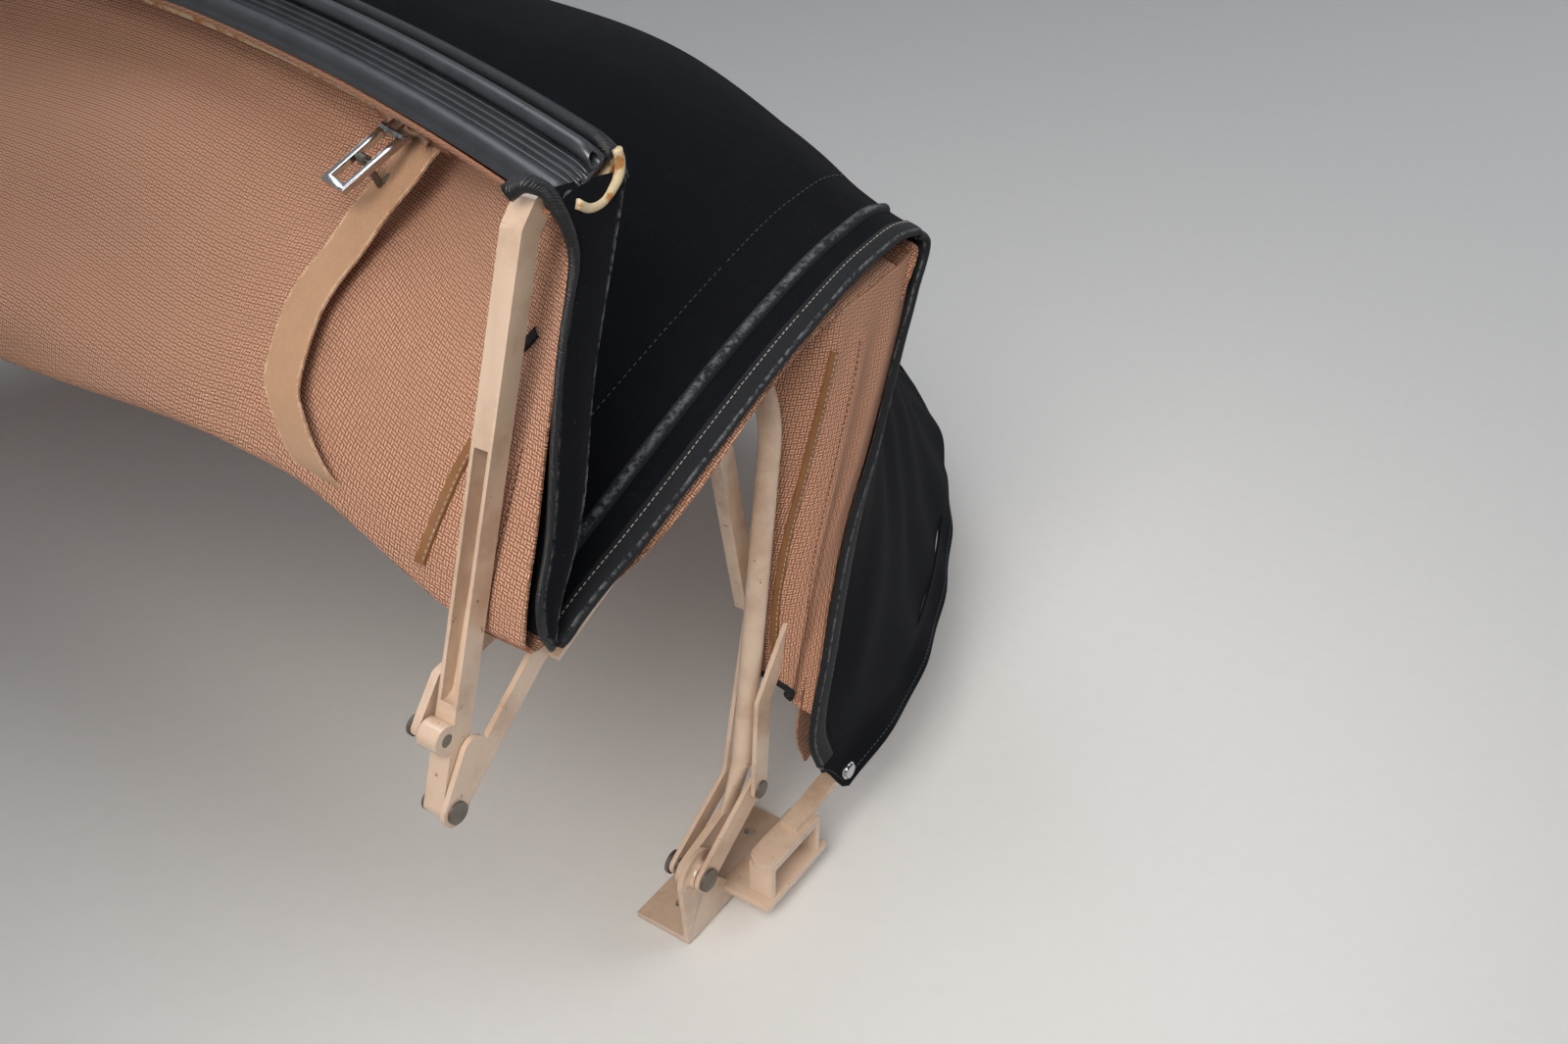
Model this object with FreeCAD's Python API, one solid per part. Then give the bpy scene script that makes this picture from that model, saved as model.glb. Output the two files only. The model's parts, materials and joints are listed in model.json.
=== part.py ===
import FreeCAD, Part
import math
import os

from FreeCAD import Vector

# Folding soft top of an open two-seater, half folded: steel rails and bows, wooden header with
# rubber seals and two latches, twill outer cover, woven lining and rear skirt. Millimetres.
# +X is the car's left, -Y is forward, +Z is up. The origin is the centre of the four body bolts
# on the plane they clamp to. Side-view places are (y, z) pairs counted from the main pivot.

PIVOT_Y = -55.0
PIVOT_HEIGHT = 60.0
RUNNING_GAP = 0.06        # radial play of a pin in its hole
SEAT_GAP = 0.3            # clamped and soft pieces lie this far from what carries them

# Side-view places of the joints and bends, (y, z) from the main pivot
MAIN_PIVOT = (0.0, 0.0)
SHOULDER = (62.0, 356.0)
ELBOW = (-196.0, 216.0)
BOW_PIVOT = (-191.0, 263.0)
CREST_RIVET = (62.0, 41.0)
CREST_LEG_KNEE = (68.0, 120.0)
CREST_LEG_TOP = (205.0, 302.0)
FRONT_RAIL_BEND = (-88.0, 521.0)
FRONT_RAIL_END = (-78.0, 531.5)

# Half the distance between the main bow's legs, which every place across the car follows
TRACK = 600.0

# Planes across the car of the left side's bars, inboard face first
PLATE = 3.5
ROOF_BOW_X = TRACK - 36.0
ROOF_BOW_PLATE = 5.5
FRONT_RAIL_X = TRACK - 28.0
FRONT_RAIL_DEPTH = 14.5
REAR_RAIL_X = TRACK - 17.0
CENTRE_RAIL_X = TRACK - 13.0
MAIN_FOOT_X = TRACK - 8.0
MAIN_FOOT_PLATE = 6.0
CHEEK_X = TRACK
CHEEK_PLATE = 4.0
CREST_ARM_X = TRACK + 8.5
CREST_LEG_X = TRACK + 12.5

# Widths of the bars and sizes of the pins
REAR_RAIL_WIDTH = 15.0
CENTRE_RAIL_WIDTH = 15.0
FRONT_RAIL_WIDTH = 14.0
FRONT_RAIL_WALL = 2.5
CREST_ARM_WIDTH = 22.0
CREST_LEG_WIDTH = 16.0
MAIN_TUBE_RADIUS = 8.0
ROOF_TUBE_RADIUS = 6.0
PIN_RADIUS = 4.0
MAIN_PIN_RADIUS = 5.0

# Main bracket: flange with two bolt holes, cheek, shelf and seat block of the rear bow
BOLT_X = TRACK - 22.0
BOLT_PLACES_Y = (10.0, 100.0)
BOLT_HOLE_RADIUS = 4.2
FLANGE_X = TRACK - 44.0
FLANGE_Y = (-15.0, 125.0)
FLANGE_PLATE = 5.0
BOSS_RADIUS = 20.0
SHELF_Y = (30.0, 110.0)
SHELF_Z = (-44.0, -38.0)
SHELF_MARGIN = 2.0
SEAT_WIDTH = 20.0
SEAT_Y = (38.0, 102.0)
SEAT_TOP = -8.0

# Bows: half width, corner radius, crown radius, base place and top place
BOW_COLUMNS = ("half_width", "corner", "crown", "base", "top")
MAIN_BOW = dict(zip(BOW_COLUMNS, (TRACK, 90.0, 2400.0, (62.0, 60.0), (120.5, 454.0))))
CREST_BOW = dict(zip(BOW_COLUMNS, (CREST_LEG_X + PLATE / 2.0, 110.0, 1337.0, (220.0, 332.0),
                                   (292.0, 494.0))))
ROOF_BOW = dict(zip(BOW_COLUMNS, (ROOF_BOW_X + ROOF_BOW_PLATE / 2.0, 40.0, 1800.0, (-100.0, 297.0),
                                  (5.0, 356.0))))

# Rear bow, lying round the body edge in a plane that rises to the rear
REAR_BOW_RADIUS = TRACK + 32.0
REAR_BOW_CENTRE_Y = 110.0
REAR_BOW_FRONT = (45.0, -3.0)
REAR_BOW_SLOPE = 0.0832
REAR_BOW_WIDTH = 14.0
REAR_BOW_HEIGHT = 8.0
REAR_BOW_END = (22.0, 6.0)

# Header: an arched shell in the plane of X and HEADER_RUN, its seal face square to HEADER_OUT
HEADER_RUN = (0.9007, 0.4344)
HEADER_OUT = (-0.4344, 0.9007)
HEADER_EDGE = (-37.0, 552.0)      # upper rear edge of the seal face at the header's end
HEADER_HALF_WIDTH = TRACK - 2.0
HEADER_RISE = 85.5
HEADER_WIDTH = 46.0
HEADER_SHELL = 4.5
SEAL_BASE = 3.0

# Latches, in a frame whose origin is the header's lower edge: along it, to the rear and outwards
LATCH_X = TRACK - 170.0
LATCH_BLOCK_WIDTH = 70.0
LATCH_PLATE = (44.0, 3.0, 18.0)
LATCH_PLATE_OUT = -38.5
LEVER_PIVOT = (0.0, -30.0)
LEVER_LENGTH = 48.0
LEVER_WIDTH = 22.0
LEVER_BAR = 4.0
HOOK_PIVOT = (-24.0, -30.0)
HOOK_RADIUS = 2.2
HOOK_LENGTH = 20.0

# Cover and lining
COVER = 2.0
LINING = 1.6
WINDOW = 1.0
JOIN_GAP = 0.6
WINDOW_HALF_WIDTH = 310.0
WINDOW_Z = (230.0, 425.0)
STRAP_X = (LATCH_X, LATCH_X + 30.0)
STRAP_PLACES = ((-12.4, 518.0), (-21.4, 513.7), (-95.0, 450.0), (-158.0, 395.0), (-168.0, 363.0),
                (-150.0, 335.0), (-125.0, 336.5))

# Sections of the sheets. Each lies in the plane of X and its own side-view direction and is
# given by its half: the hem at x_end, a point on the shoulder, a joint of two arcs, the crown.
# Inward is the side-view direction from the outer face to the inner one. Places across the car
# are those of a track of DRAWN_TRACK and go in proportion to it.
DRAWN_TRACK = 600.0
BAND_COLUMNS = ("base", "run", "x_end", "middle", "joint", "crown", "inward")
BANDS = {name: dict(zip(BAND_COLUMNS, row)) for name, row in {
    "header_back": ((-28.3, 538.4), HEADER_RUN, 600.0, (500.0, 26.1), (400.0, 47.5), 85.5, (-0.98, 0.2)),
    "header_under": ((-41.1, 532.8), HEADER_RUN, 592.0, (493.0, 26.1), (395.0, 47.5), 85.5, (-0.98, 0.2)),
    "front_high": ((-57.0, 485.0), (0.877, 0.480), 606.0, (500.0, 46.0), (400.0, 78.0), 118.0, (-0.92, 0.4)),
    "fold_front": ((-140.3, 308.0), (0.0, 1.0), 623.0, (540.0, 14.0), (440.0, 55.0), 40.0, (-0.8, 0.6)),
    "fold_rear": ((-139.7, 308.0), (0.0, 1.0), 623.0, (540.0, 14.0), (440.0, 55.0), 40.0, (0.2, -0.98)),
    "lining_fold": ((-147.0, 304.0), (-0.12, 0.993), 616.0, (534.0, 14.0), (435.0, 55.0), 40.0, (-0.8, 0.6)),
    "lining_turn": ((-146.4, 298.0), (-0.1, 0.995), 616.0, (534.0, 14.0), (435.0, 55.0), 40.0, (0.2, -0.98)),
    "middle": ((115.0, 396.0), (0.1, 0.995), 621.0, (530.0, 30.0), (400.0, 62.0), 84.0, (0.1, -0.995)),
    "crest_front": ((240.0, 412.0), (0.35, 0.937), 620.0, (521.0, 38.0), (410.0, 80.0), 110.0, (0.1, -0.99)),
    "crest_end": ((250.7, 408.2), (0.35, 0.937), 620.0, (521.0, 38.0), (410.0, 80.0), 110.0, (-0.3, -0.95)),
    "crest_start": ((251.3, 408.0), (0.35, 0.937), 620.0, (521.0, 38.0), (410.0, 80.0), 110.0, (-0.3, -0.95)),
    "crest_back": ((262.0, 404.0), (0.35, 0.937), 620.0, (521.0, 38.0), (410.0, 80.0), 110.0, (-0.6, -0.8)),
    "lining_rear": ((222.0, 404.0), (0.30, 0.954), 620.0, (521.0, 36.0), (410.0, 76.0), 104.0, (0.1, -0.995)),
    "back_high": ((219.0, 330.0), (0.874, 0.486), 625.0, (580.0, 58.0), (420.0, 144.0), 193.0, (-0.66, -0.75)),
    "back_mid": ((156.0, 223.0), (0.978, 0.207), 630.0, (575.0, 130.0), (430.0, 270.0), 372.0, (-0.67, -0.74)),
    "back_base": ((90.0, 60.0), (0.998, 0.068), 650.0, (589.0, 285.0), (418.0, 508.0), 660.0, (-0.998, -0.068)),
    "skirt_top": ((89.9, 59.4), (0.998, 0.068), 650.0, (589.0, 285.0), (418.0, 508.0), 660.0, (-0.998, -0.068)),
    "skirt_low": ((85.0, 25.0), (0.998, 0.068), 662.0, (600.0, 289.0), (425.0, 515.0), 678.0, (-0.98, -0.2)),
}.items()}


def at(x, y, z):
    """Point from a place counted from the main pivot."""
    return Vector(x, y + PIVOT_Y, z + PIVOT_HEIGHT)


def mirrored(shape):
    """The same piece on the car's right side."""
    return shape.mirror(Vector(0, 0, 0), Vector(1, 0, 0))


def pair(shape):
    """The piece of the left side and its twin, as one compound."""
    return Part.makeCompound([shape, mirrored(shape)])


def fused(shapes):
    """One clean solid from several that meet."""
    return shapes[0].multiFuse(shapes[1:]).removeSplitter()


def disc(place, radius, x_from, x_to):
    """Round plate or pin across the car."""
    return Part.makeCylinder(radius, x_to - x_from, at(x_from, *place), Vector(1, 0, 0))


def link(places, width, x_from, x_to):
    """Flat bar with round ends along side-view places, between two planes across the car."""
    parts = [disc(place, width / 2.0, x_from, x_to) for place in places]
    for (y1, z1), (y2, z2) in zip(places, places[1:]):
        slab = Part.makeBox(x_to - x_from, math.hypot(y2 - y1, z2 - z1), width,
                            Vector(0, 0, -width / 2.0))
        slab.rotate(Vector(0, 0, 0), Vector(1, 0, 0), math.degrees(math.atan2(z2 - z1, y2 - y1)))
        slab.translate(at(x_from, y1, z1))
        parts.append(slab)
    return fused(parts)


def shifted(places, offset, ease_start=0.0, ease_end=0.0):
    """A straight run of two places moved square to itself and shortened at its ends."""
    (y1, z1), (y2, z2) = places
    run = math.hypot(y2 - y1, z2 - z1)
    along = ((y2 - y1) / run, (z2 - z1) / run)
    across = (-along[1] * offset, along[0] * offset)
    return [(y1 + along[0] * ease_start + across[0], z1 + along[1] * ease_start + across[1]),
            (y2 - along[0] * ease_end + across[0], z2 - along[1] * ease_end + across[1])]


def holed(solid, place, radius, x_from, x_to):
    """The piece with a running hole for a pin."""
    return solid.cut(disc(place, radius + RUNNING_GAP, x_from - 1.0, x_to + 1.0))


def headed_pin(place, radius, stations):
    """Pin with discs of other radii on it: stations are (from, to, radius), across from TRACK."""
    x_from = TRACK + min(row[0] for row in stations)
    x_to = TRACK + max(row[1] for row in stations)
    discs = [disc(place, size, TRACK + low, TRACK + high) for low, high, size in stations]
    return fused([disc(place, radius, x_from, x_to)] + discs)


def bow_path(bow, foot):
    """Hoop that leans from its base place to its top place: legs, corner arcs and a crown arc."""
    base = bow["base"]
    top = bow["top"]
    half_width = bow["half_width"]
    corner = bow["corner"]
    height = math.hypot(top[0] - base[0], top[1] - base[1])
    lean = ((top[0] - base[0]) / height, (top[1] - base[1]) / height)
    centre = height - bow["crown"]
    drop = math.sqrt((bow["crown"] - corner) ** 2 - (half_width - corner) ** 2)
    shoulder = centre + drop
    tangent = math.atan2(drop, half_width - corner)

    def place(x, s):
        return at(x, base[0] + lean[0] * s, base[1] + lean[1] * s)

    left = [place(half_width, foot),
            place(half_width, shoulder),
            place(half_width - corner + corner * math.cos(tangent / 2.0),
                  shoulder + corner * math.sin(tangent / 2.0)),
            place(bow["crown"] * math.cos(tangent), centre + bow["crown"] * math.sin(tangent))]
    right = [Vector(-p.x, p.y, p.z) for p in left]
    edges = [Part.Arc(left[1], left[2], left[3]).toShape(),
             Part.Arc(left[3], place(0, height), right[3]).toShape(),
             Part.Arc(right[3], right[2], right[1]).toShape()]
    if abs(shoulder - foot) > 0.5:
        edges.insert(0, Part.LineSegment(left[0], left[1]).toShape())
        edges.append(Part.LineSegment(right[1], right[0]).toShape())
    return Part.Wire(edges)


def path_start(path):
    """First point of a path and its direction there."""
    edge = path.Edges[0]
    return edge.valueAt(edge.FirstParameter), edge.tangentAt(edge.FirstParameter)


def swept_round(path, radius):
    """Round bar along a path."""
    start, along = path_start(path)
    return path.makePipeShell([Part.Wire(Part.makeCircle(radius, start, along))], True, False)


def swept_flat(path, across, thick):
    """Flat bar along a path, its thickness lying in the plane of the path."""
    start, along = path_start(path)
    side = Vector(1, 0, 0)
    other = along.cross(side).normalize()
    corners = [start + side * (a * thick / 2.0) + other * (b * across / 2.0)
               for a, b in ((-1, -1), (1, -1), (1, 1), (-1, 1))]
    return path.makePipeShell([Part.makePolygon(corners + corners[:1])], True, False)


def extruded(places, x_from, x_to):
    """Side-view outline extruded across the car."""
    points = [at(x_from, *place) for place in places]
    return Part.Face(Part.makePolygon(points + points[:1])).extrude(Vector(x_to - x_from, 0, 0))


def bracket():
    """Bolted flange, cheek with the main eye, shelf and hollow seat block of the rear bow."""
    base = -PIVOT_HEIGHT
    low, high = FLANGE_Y
    outer = CHEEK_X + CHEEK_PLATE
    flange = Part.makeBox(outer - FLANGE_X, high - low, FLANGE_PLATE, at(FLANGE_X, low, base))
    cheek = extruded([(low, base), (-BOSS_RADIUS * 0.97, -5.0), (0.0, 0.0), (15.0, -13.0),
                      (36.0, SHELF_Z[1]), (high, SHELF_Z[1]), (high, base)], CHEEK_X, outer)
    eye = disc(MAIN_PIVOT, BOSS_RADIUS, CHEEK_X, outer)
    hub = disc(MAIN_PIVOT, 11.0, CHEEK_X - 1.0, CREST_ARM_X - 0.8)
    seat_inner = REAR_BOW_RADIUS - SEAT_WIDTH / 2.0
    shelf_outer = seat_inner + SEAT_WIDTH + SHELF_MARGIN
    shelf = Part.makeBox(shelf_outer - CHEEK_X, SHELF_Y[1] - SHELF_Y[0], SHELF_Z[1] - SHELF_Z[0],
                         at(CHEEK_X, SHELF_Y[0], SHELF_Z[0]))
    block = Part.makeBox(SEAT_WIDTH, SEAT_Y[1] - SEAT_Y[0], SEAT_TOP - SHELF_Z[1] + 1.0,
                         at(seat_inner, SEAT_Y[0], SHELF_Z[1] - 1.0))
    hollow = Part.makeBox(SEAT_WIDTH, SEAT_Y[1] - SEAT_Y[0] - 10.0,
                          SEAT_TOP - SHELF_Z[1] - 4.0, at(seat_inner, SEAT_Y[0] + 5.0, SHELF_Z[1]))
    solid = fused([flange, cheek, eye, hub, shelf, block.cut(hollow)])
    solid = holed(solid, MAIN_PIVOT, MAIN_PIN_RADIUS, CHEEK_X - 2.0, CREST_ARM_X)
    for y in BOLT_PLACES_Y:
        solid = solid.cut(Part.makeCylinder(BOLT_HOLE_RADIUS, 20.0, at(BOLT_X, y, base - 5.0)))
    return solid


def rear_bow():
    """Flat hoop lying round the rear of the body, with flat ends on the bracket seats."""
    front_y, front_z = REAR_BOW_FRONT
    straight_y = front_y + 30.0

    def place(x, y):
        return at(x, y, front_z + (y - front_y) * REAR_BOW_SLOPE)

    left = [place(REAR_BOW_RADIUS, straight_y), place(REAR_BOW_RADIUS, REAR_BOW_CENTRE_Y)]
    right = [place(-REAR_BOW_RADIUS, REAR_BOW_CENTRE_Y), place(-REAR_BOW_RADIUS, straight_y)]
    rear = place(0, REAR_BOW_CENTRE_Y + REAR_BOW_RADIUS)
    path = Part.Wire([Part.LineSegment(*left).toShape(),
                      Part.Arc(left[1], rear, right[0]).toShape(),
                      Part.LineSegment(*right).toShape()])
    hoop = swept_flat(path, REAR_BOW_HEIGHT, REAR_BOW_WIDTH)
    width, thick = REAR_BOW_END
    bottom = SEAT_TOP + SEAT_GAP
    end = Part.makeBox(width, SEAT_Y[1] - front_y - 2.0, thick,
                       at(REAR_BOW_RADIUS - width / 2.0, front_y, bottom))
    toe = Part.makeCylinder(width / 2.0, thick, at(REAR_BOW_RADIUS, front_y, bottom))
    return fused([hoop, end, toe, mirrored(end), mirrored(toe)])


def main_bow():
    """Round tube hoop with flattened feet on the main pins."""
    hoop = swept_round(bow_path(MAIN_BOW, 0.0), MAIN_TUBE_RADIUS)
    outer = MAIN_FOOT_X + MAIN_FOOT_PLATE
    neck_place = (48.0, 14.0)
    foot = holed(link([MAIN_PIVOT, neck_place], 24.0, MAIN_FOOT_X, outer), MAIN_PIVOT,
                 MAIN_PIN_RADIUS, MAIN_FOOT_X, outer)
    base = MAIN_BOW["base"]
    top = MAIN_BOW["top"]
    rise = Vector(0, top[0] - base[0], top[1] - base[1]).normalize()
    square = rise.cross(Vector(1, 0, 0)).normalize()
    sections = []
    inside = (base[0] + rise.y * 6.0, base[1] + rise.z * 6.0)
    for place, x, long_radius, short_radius in ((neck_place, (MAIN_FOOT_X + outer) / 2.0, 11.0, 2.8),
                                                (inside, TRACK, 7.7, 7.5)):
        centre = at(x, *place)
        ellipse = Part.Ellipse(centre + square * long_radius, centre + Vector(short_radius, 0, 0),
                               centre)
        sections.append(Part.Wire(ellipse.toShape()))
    neck = Part.makeLoft(sections, True)
    return fused([hoop, neck, foot, mirrored(neck), mirrored(foot)])


def rear_rail():
    """Angle-section rail from the main pin up to the shoulder."""
    places = [MAIN_PIVOT, (66.0, 40.0), (98.0, 170.0), SHOULDER]
    outer = REAR_RAIL_X + PLATE
    web = link(places, REAR_RAIL_WIDTH, REAR_RAIL_X, outer)
    lip = link(shifted(places[2:], REAR_RAIL_WIDTH / 2.0 - 1.5, 6.0, 22.0), 3.0, REAR_RAIL_X - 7.0,
               REAR_RAIL_X + 1.0)
    rail = fused([web, lip, disc(SHOULDER, 14.0, REAR_RAIL_X, outer)])
    rail = holed(rail, MAIN_PIVOT, MAIN_PIN_RADIUS, REAR_RAIL_X, outer)
    return holed(rail, SHOULDER, PIN_RADIUS, REAR_RAIL_X, outer)


def crest_bow():
    """Flat hoop under the crest, with cranked legs riveted to the short arms."""
    outer = CREST_LEG_X + PLATE
    places = [CREST_RIVET, CREST_LEG_KNEE, CREST_LEG_TOP]
    leg = holed(link(places, CREST_LEG_WIDTH, CREST_LEG_X, outer), CREST_RIVET, PIN_RADIUS,
                CREST_LEG_X, outer)
    hoop = swept_flat(bow_path(CREST_BOW, -42.0), CREST_LEG_WIDTH - 3.0, PLATE)
    return fused([hoop, leg, mirrored(leg)])


def crest_arm():
    """Short arm from the main pin to the rivet at the foot of the crest bow."""
    outer = CREST_ARM_X + PLATE
    arm = link([MAIN_PIVOT, CREST_RIVET], CREST_ARM_WIDTH, CREST_ARM_X, outer)
    arm = holed(arm, MAIN_PIVOT, MAIN_PIN_RADIUS, CREST_ARM_X, outer)
    return holed(arm, CREST_RIVET, PIN_RADIUS, CREST_ARM_X, outer)


def centre_rail():
    """Angle-section rail from the shoulder to the elbow, with the elbow's stop tab."""
    outer = CENTRE_RAIL_X + PLATE
    places = [ELBOW, (-121.0, 275.0), SHOULDER]
    web = link(places, CENTRE_RAIL_WIDTH, CENTRE_RAIL_X, outer)
    tab = link([ELBOW, (-176.0, 246.0)], 19.0, CENTRE_RAIL_X, outer)
    lip = link(shifted(places[1:], 1.5 - CENTRE_RAIL_WIDTH / 2.0, 8.0, 60.0), 3.0, outer - 1.0,
               outer + 8.0)
    rail = fused([web, tab, lip])
    rail = holed(rail, ELBOW, PIN_RADIUS, CENTRE_RAIL_X, outer)
    return holed(rail, SHOULDER, PIN_RADIUS, CENTRE_RAIL_X, outer)


def header_place(x, along, out):
    """Point of the header: along its run from the upper rear edge, out from its seal face."""
    return at(x, HEADER_EDGE[0] + along * HEADER_RUN[0] + out * HEADER_OUT[0],
              HEADER_EDGE[1] + along * HEADER_RUN[1] + out * HEADER_OUT[1])


HEADER_RADIUS = (TRACK ** 2 + HEADER_RISE ** 2) / (2.0 * HEADER_RISE)


def header_sag(x):
    """How far along its run the header's arch stands at a place across the car."""
    return HEADER_RISE - HEADER_RADIUS + math.sqrt(HEADER_RADIUS ** 2 - x ** 2)


def header_bar(low, high, x_end, out_from, out_to):
    """Arched bar between two places along the run and two distances from the seal face."""
    def arc(along):
        return [header_place(x, along + header_sag(x), out_from) for x in (x_end, 0.0, -x_end)]
    top = arc(high)
    bottom = arc(low)
    outline = Part.Wire([Part.Arc(*top).toShape(),
                         Part.LineSegment(top[2], bottom[2]).toShape(),
                         Part.Arc(*reversed(bottom)).toShape(),
                         Part.LineSegment(bottom[0], top[0]).toShape()])
    return Part.Face(outline).extrude(header_place(0, 0, out_to) - header_place(0, 0, out_from))


def header():
    """Hollow wooden header: floor, square rear wall and slanting front wall."""
    body = header_bar(-HEADER_WIDTH, 0.0, HEADER_HALF_WIDTH, -14.0, 0.0)
    hollow = header_bar(-HEADER_WIDTH + HEADER_SHELL, -HEADER_SHELL, HEADER_HALF_WIDTH + 5.0,
                        -14.0 + HEADER_SHELL, 1.0)
    slant = Part.Face(Part.makePolygon([
        header_place(0, -HEADER_WIDTH - 4.0, -2.0), header_place(0, -HEADER_WIDTH - 4.0, -20.0),
        header_place(0, -24.0, -20.0), header_place(0, -28.0, -14.0),
        header_place(0, -HEADER_WIDTH, -4.0), header_place(0, -HEADER_WIDTH - 4.0, -2.0)]))
    corners = [edge for edge in body.Edges
               if abs(edge.CenterOfMass.x) < 0.01 and abs(edge.Length) > 100.0
               and (edge.CenterOfMass - header_place(0, HEADER_RISE - HEADER_WIDTH, -14.0)).Length < 40.0]
    corners.sort(key=lambda edge: (edge.valueAt(edge.FirstParameter)
                                   - header_place(HEADER_HALF_WIDTH, header_sag(HEADER_HALF_WIDTH)
                                                  - HEADER_WIDTH, -14.0)).Length)
    return body.makeChamfer(7.0, corners[:1]).cut(hollow)


def header_seal():
    """Rubber profile on the header: base strip, upper tube bead, thin ribs and a broad bead."""
    x_end = HEADER_HALF_WIDTH
    parts = [header_bar(-HEADER_WIDTH + 0.5, -2.0, x_end, SEAT_GAP, SEAT_GAP + SEAL_BASE)]
    for low, high, height in ((-21.5, -20.0, 6.5), (-25.5, -24.0, 6.0), (-29.5, -28.0, 6.0)):
        parts.append(header_bar(low, high, x_end, SEAT_GAP + 1.0, height))
    parts.append(header_bar(-44.5, -33.0, x_end, SEAT_GAP + 1.0, 7.5))
    parts.append(header_bar(-17.5, -7.5, x_end, SEAT_GAP + 1.0, 9.5))
    return fused(parts)


def front_rail():
    """Channel rail from the elbow to the header, its groove towards the cover."""
    outer = FRONT_RAIL_X + FRONT_RAIL_DEPTH
    rail = link([ELBOW, FRONT_RAIL_BEND, FRONT_RAIL_END], FRONT_RAIL_WIDTH, FRONT_RAIL_X, outer)
    groove = link(shifted([BOW_PIVOT, FRONT_RAIL_BEND], -FRONT_RAIL_WALL - 2.0, 26.0, 24.0),
                  FRONT_RAIL_WIDTH, FRONT_RAIL_X + FRONT_RAIL_WALL, outer - FRONT_RAIL_WALL)
    eye = disc(BOW_PIVOT, 9.0, FRONT_RAIL_X, outer)
    rail = fused([rail, eye]).cut(groove)
    rail = rail.cut(header_bar(-HEADER_WIDTH - SEAT_GAP, 30.0, HEADER_HALF_WIDTH + 8.0, -14.3, 20.0))
    rail = holed(rail, ELBOW, PIN_RADIUS, FRONT_RAIL_X, outer)
    return holed(rail, BOW_PIVOT, PIN_RADIUS, FRONT_RAIL_X, outer)


def roof_bow():
    """Cranked flat legs from the front rails to a round cross tube inside the fold."""
    outer = ROOF_BOW_X + ROOF_BOW_PLATE
    places = [BOW_PIVOT, (-172.0, 286.0), (-140.0, 291.0), ROOF_BOW["base"]]
    leg = holed(link(places, 11.0, ROOF_BOW_X, outer), BOW_PIVOT, PIN_RADIUS, ROOF_BOW_X, outer)
    hoop = swept_round(bow_path(ROOF_BOW, -3.0), ROOF_TUBE_RADIUS)
    return fused([hoop, leg, mirrored(leg)])


def latch_placed(shape):
    """Moves a latch piece from the latch's own frame to its place on the left side."""
    moved = shape.copy()
    slope = -LATCH_X / math.sqrt(HEADER_RADIUS ** 2 - LATCH_X ** 2)
    moved.rotate(Vector(0, 0, 0), Vector(0, 0, 1), math.degrees(math.atan(slope)))
    moved.rotate(Vector(0, 0, 0), Vector(1, 0, 0),
                 math.degrees(math.atan2(HEADER_RUN[1], HEADER_RUN[0])))
    moved.translate(header_place(LATCH_X, header_sag(LATCH_X) - HEADER_WIDTH, 0.0))
    return moved


def latch_box(a, b, c):
    """Box of the latch frame from pairs of limits along, to the rear and outwards."""
    return Part.makeBox(a[1] - a[0], b[1] - b[0], c[1] - c[0], Vector(a[0], b[0], c[0]))


def latch_rod(radius, a_from, a_to, b, c):
    """Round rod along the header in the latch frame."""
    return Part.makeCylinder(radius, a_to - a_from, Vector(a_from, b, c), Vector(1, 0, 0))


def latch_block():
    """Covered block under the header that carries the latch."""
    half = LATCH_BLOCK_WIDTH / 2.0
    outline = Part.makePolygon([Vector(-half, b, c) for b, c in
                                ((9, -14.3), (28, -14.3), (17, -40), (9, -40), (9, -14.3))])
    return Part.Face(outline).extrude(Vector(LATCH_BLOCK_WIDTH, 0, 0))


def latch_base():
    """Bevelled base plate with the two knuckles of the lever's pin."""
    width, thick, height = LATCH_PLATE
    rear = 9.0 - SEAT_GAP
    bottom = LATCH_PLATE_OUT
    points = [(-width / 2.0, bottom + 5.0), (-width / 2.0 + 6.0, bottom), (width / 2.0 - 6.0, bottom),
              (width / 2.0, bottom + 5.0), (width / 2.0, bottom + height - 5.0),
              (width / 2.0 - 6.0, bottom + height), (-width / 2.0 + 6.0, bottom + height),
              (-width / 2.0, bottom + height - 5.0)]
    outline = Part.makePolygon([Vector(a, rear, c) for a, c in points + points[:1]])
    plate = Part.Face(outline).extrude(Vector(0, -thick, 0))
    parts = [plate]
    inner = LEVER_WIDTH / 2.0 - LEVER_BAR - 0.6
    for a in (-inner, inner - 3.0):
        parts.append(latch_box((a, a + 3.0), (LEVER_PIVOT[0], rear - thick + 0.5),
                               (LEVER_PIVOT[1] - 3.5, LEVER_PIVOT[1] + 3.5)))
        parts.append(latch_rod(3.5, a, a + 3.0, *LEVER_PIVOT))
    parts.append(latch_rod(1.6, -LEVER_WIDTH / 2.0 - 1.0, LEVER_WIDTH / 2.0 + 1.0, *LEVER_PIVOT))
    return fused(parts)


def latch_lever():
    """Open lever frame: two side bars, an end bar and the bar that carries the hook."""
    half = LEVER_WIDTH / 2.0
    b, c = LEVER_PIVOT
    parts = []
    for low in (-half, half - LEVER_BAR):
        eye = latch_rod(3.5, low, low + LEVER_BAR, b, c)
        bar = latch_box((low, low + LEVER_BAR), (b - LEVER_LENGTH, b), (c - 2.0, c + 2.0))
        parts += [eye, bar]
    parts.append(latch_box((-half, half), (b - LEVER_LENGTH, b - LEVER_LENGTH + 5.0),
                           (c - 2.0, c + 2.0)))
    parts.append(latch_rod(1.6, -half + 1.0, half - 1.0, *HOOK_PIVOT))
    lever = fused(parts)
    return lever.cut(latch_rod(1.6 + RUNNING_GAP, -half - 3.0, half + 3.0, *LEVER_PIVOT))


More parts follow.
